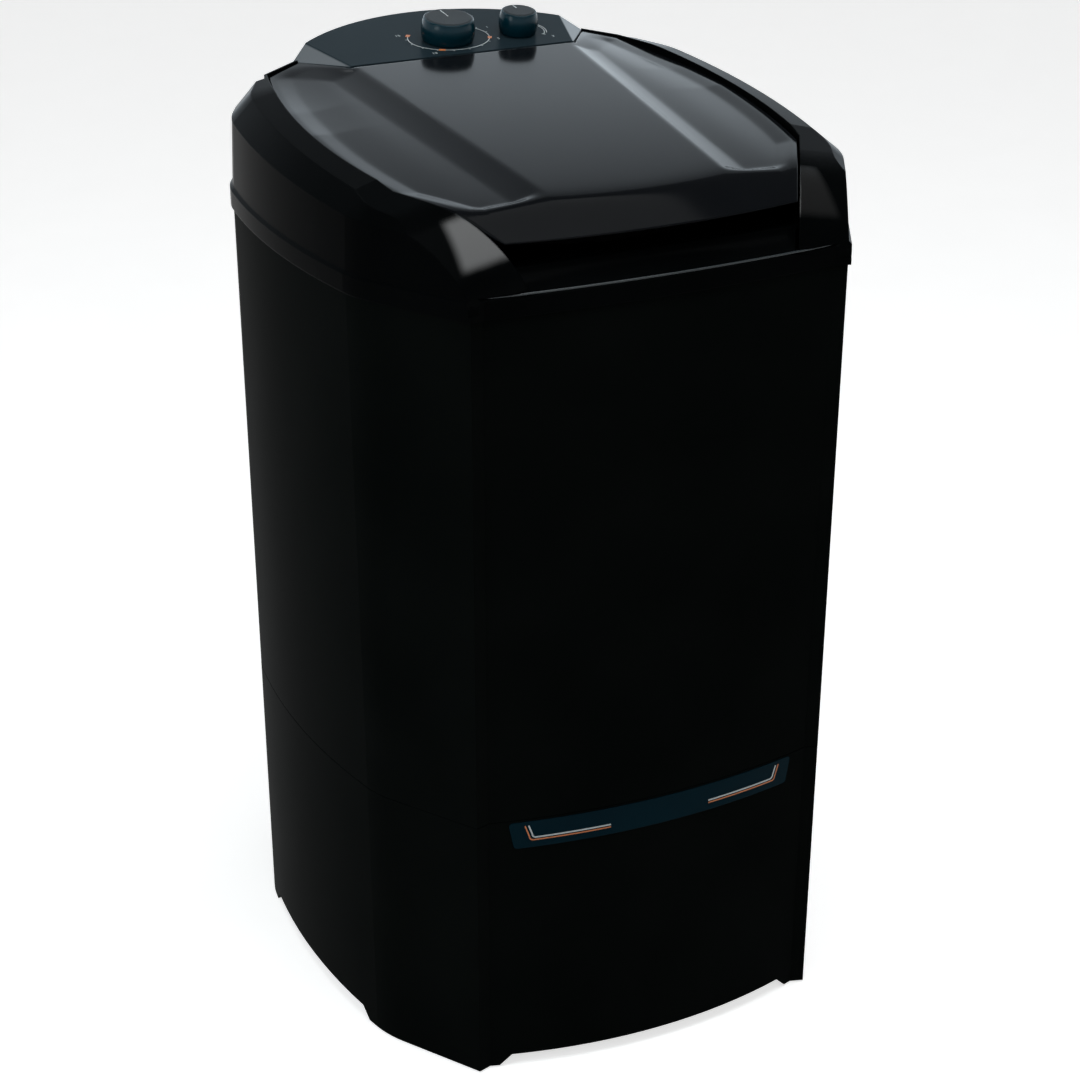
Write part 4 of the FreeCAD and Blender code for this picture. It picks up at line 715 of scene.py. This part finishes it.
for node, body, centre, reach, length in (("timer_cap", "timer", timer_dial, 0.0215, 0.0205),
                                          ("selector_cap", "selector", selector_dial, 0.0145, 0.0095)):
    line = pointer_line(centre, reach, length, cap_height(node, centre) - pointer_sink, width=0.0012,
                        degrees=92.0, crown=0.0004)
    add_piece(body + "_pointer", grids_mesh(body + "_pointer", [line]), white_ink, body)


# Badge strip: a thin navy moulding let into the front of the base skirt under the seam.
# It is glued in its recess; a white and an orange pinstripe turn up at each end, the middle is bare.
badge_navy = moulded_plastic("badge_navy", dark=(0.0004, 0.0100, 0.0165), pale=(0.0008, 0.0138, 0.0215),
                             smooth=0.14, dull=0.20, grain=900.0, depth=0.00002, gloss=0.016, edge=0.0006)
coat(["badge_strip"], badge_navy)

badge_proud = 0.0006
stripe_lift = 0.00012
stripe_end = 0.1435
stripe_low = 0.2725


def pinstripe(side, inner_x, outer_x, low_z, top_z, lean, width, corner):
    """Stripe on the badge: along the bottom from inner_x to the corner, round it by a quarter turn, and up
    the end, which leans outwards by lean per unit of height; the width lies evenly about the line."""
    run = np.linspace(inner_x, outer_x - corner, 24)
    turn = np.linspace(-np.pi / 2, 0.0, 9)
    bend_x = outer_x - corner + corner * np.cos(turn)
    bend_z = low_z + corner + corner * np.sin(turn)
    rise = np.linspace(low_z + corner, top_z, 8)
    line_x = np.concatenate([run, bend_x[1:], outer_x + (rise[1:] - rise[0]) * lean])
    line_z = np.concatenate([np.full_like(run, low_z), bend_z[1:], rise[1:]])
    along = np.stack([np.gradient(line_x), np.gradient(line_z)])
    along = along / np.linalg.norm(along, axis=0)
    offset = np.array([-width / 2, width / 2])
    x = line_x[:, None] - along[1][:, None] * offset
    z = line_z[:, None] + along[0][:, None] * offset
    y = front_wall(x, z) - badge_proud - stripe_lift
    return np.stack([side * x, y, z], axis=-1)


for name, ink, inset, width in (("badge_white_stripes", white_ink, 0.0028, 0.0016),
                                ("badge_orange_stripes", orange_ink, 0.0, 0.0014)):
    stripes = [pinstripe(side, inner_x=0.057, outer_x=stripe_end - inset, low_z=stripe_low + inset,
                         top_z=0.2895, lean=0.35, width=width, corner=0.004)
               for side in (-1.0, 1.0)]
    stripes[1] = stripes[1][:, ::-1]
    thicken(add_piece(name, grids_mesh(name, stripes), ink, "machine"), 2 * stripe_lift)


# Floor and studio wall: a pale floor inside a round white wall that stands tall behind the machine.
# Painted board with a faint mottle. Seen directly or in a gloss it is lit up to white, and it keeps
# the machine's shadow; well above head height the wall's light falls off.
fade_low = 3.6
fade_high = 4.6


def studio_paint(name, dark, pale, glow, tint, left):
    """Matt paint that drifts from dark to pale; what the camera or a gloss sees of it also glows in the tint
    by the given amount, so that it reads as white without lighting the machine. From fade_low to fade_high
    the glow falls to the share that is left."""
    material = moulded_plastic(name, dark, pale, smooth=0.7, dull=0.8, grain=300.0, depth=0.00001, gloss=0.0,
                               edge=0.0)
    nodes = material.node_tree.nodes
    links = material.node_tree.links
    ray = nodes.new("ShaderNodeLightPath")
    seen = nodes.new("ShaderNodeMath")
    seen.operation = "MAXIMUM"
    links.new(ray.outputs["Is Camera Ray"], seen.inputs[0])
    links.new(ray.outputs["Is Glossy Ray"], seen.inputs[1])
    level = nodes.new("ShaderNodeMath")
    level.operation = "MULTIPLY"
    level.inputs[1].default_value = glow
    links.new(seen.outputs[0], level.inputs[0])
    place = nodes.new("ShaderNodeTexCoord")
    apart = nodes.new("ShaderNodeSeparateXYZ")
    links.new(place.outputs["Object"], apart.inputs["Vector"])
    fade = nodes.new("ShaderNodeMapRange")
    fade.inputs["From Min"].default_value = fade_low
    fade.inputs["From Max"].default_value = fade_high
    fade.inputs["To Min"].default_value = 1.0
    fade.inputs["To Max"].default_value = left
    links.new(apart.outputs["Z"], fade.inputs["Value"])
    faded = nodes.new("ShaderNodeMath")
    faded.operation = "MULTIPLY"
    links.new(level.outputs[0], faded.inputs[0])
    links.new(fade.outputs["Result"], faded.inputs[1])
    shader = nodes["Principled BSDF"]
    shader.inputs["Emission Color"].default_value = (*tint, 1.0)
    links.new(faded.outputs[0], shader.inputs["Emission Strength"])
    return material


def stage_piece(name, grid, material):
    """Links one grid of points as a piece of the stage."""
    mesh = grids_mesh(name, [grid])
    mesh.materials.append(material)
    piece = bpy.data.objects.new(name, mesh)
    bpy.context.scene.collection.objects.link(piece)


def floor_grid(size, depth):
    """Flat square of the given half size at the given depth under the feet."""
    line = np.linspace(-size, size, 9)
    across, along = np.meshgrid(line, line, indexing="ij")
    return np.stack([across, along, np.full_like(across, -depth)], axis=-1)


def wall_grid(radius, low, high, sink, turns):
    """Round wall: the angle runs once round from the front, and the height of its top goes from low at the
    front to high behind, as half a cosine wave raised to a cube. Its foot is sunk under the floor."""
    around = np.linspace(-np.pi, np.pi, turns + 1)
    turn, rise = np.meshgrid(around, np.linspace(0.0, 1.0, 7), indexing="ij")
    top = low + (high - low) * (0.5 + 0.5 * np.cos(turn)) ** 3
    return np.stack([radius * np.sin(turn), radius * np.cos(turn), rise * top - sink], axis=-1)


board_dark = (0.80, 0.80, 0.80)
board_pale = (0.84, 0.84, 0.84)
floor_paint = studio_paint("floor_paint", board_dark, board_pale, glow=0.68, tint=(1.0, 1.0, 1.0), left=1.0)
stage_piece("floor", floor_grid(size=9.0, depth=0.0005), floor_paint)
wall_paint = studio_paint("wall_paint", board_dark, board_pale, glow=1.45, tint=(0.80, 0.91, 1.0), left=0.6)
stage_piece("studio_wall", wall_grid(radius=7.0, low=2.6, high=11.0, sink=0.01, turns=96), wall_paint)


# Light: four soft boxes over, left of, before and behind the machine, in a dim even room.
# The rear box is small, so that its picture in the glossy lid stays a narrow one.
world = bpy.data.worlds.new("dim_room")
bpy.context.scene.world = world
world.use_nodes = True
world.node_tree.nodes["Background"].inputs["Color"].default_value = (1.0, 1.0, 1.0, 1.0)
world.node_tree.nodes["Background"].inputs["Strength"].default_value = 0.17


def soft_box(name, place, aim, width, height, power, colour):
    """Rectangular studio lamp at place, turned to aim."""
    lamp = bpy.data.lights.new(name, "AREA")
    lamp.shape = "RECTANGLE"
    lamp.size = width
    lamp.size_y = height
    lamp.energy = power
    lamp.color = colour
    stand = bpy.data.objects.new(name, lamp)
    bpy.context.scene.collection.objects.link(stand)
    stand.location = place
    stand.rotation_euler = (Vector(aim) - Vector(place)).to_track_quat("-Z", "Y").to_euler()


machine_middle = (0.0, 0.0, 0.6)
console_middle = (0.0, 0.22, 0.97)
soft_box("overhead_box", (0.2, -0.6, 3.2), machine_middle, width=2.4, height=2.0, power=44.0,
         colour=(0.96, 0.99, 1.0))
soft_box("left_box", (-2.6, -0.6, 1.9), machine_middle, width=1.0, height=1.6, power=22.0,
         colour=(0.88, 0.98, 1.0))
soft_box("front_box", (0.7, -3.1, 2.7), machine_middle, width=1.0, height=1.0, power=8.0,
         colour=(1.0, 0.99, 0.97))
soft_box("rear_box", (-0.66, 1.62, 2.95), console_middle, width=0.7, height=0.5, power=3.6,
         colour=(0.90, 0.96, 1.0))


# Camera: at the photograph's viewing angle, a little left of the front and looking down.
# Its place, turn and dip were fitted to the photograph's edges; the photograph is 1080 by 1080.
camera_place = Vector((-1.1548, -2.3850, 1.6399))
camera_turn = np.radians(25.99)
camera_dip = np.radians(23.95)
camera_data = bpy.data.cameras.new("camera")
camera_data.sensor_width = 36.0
camera_data.lens = 88.33
camera = bpy.data.objects.new("camera", camera_data)
bpy.context.scene.collection.objects.link(camera)
camera.location = camera_place
view_line = Vector((np.sin(camera_turn) * np.cos(camera_dip), np.cos(camera_turn) * np.cos(camera_dip),
                    -np.sin(camera_dip)))
camera.rotation_euler = view_line.to_track_quat("-Z", "Y").to_euler()
bpy.context.scene.camera = camera
bpy.context.scene.view_settings.view_transform = "Standard"
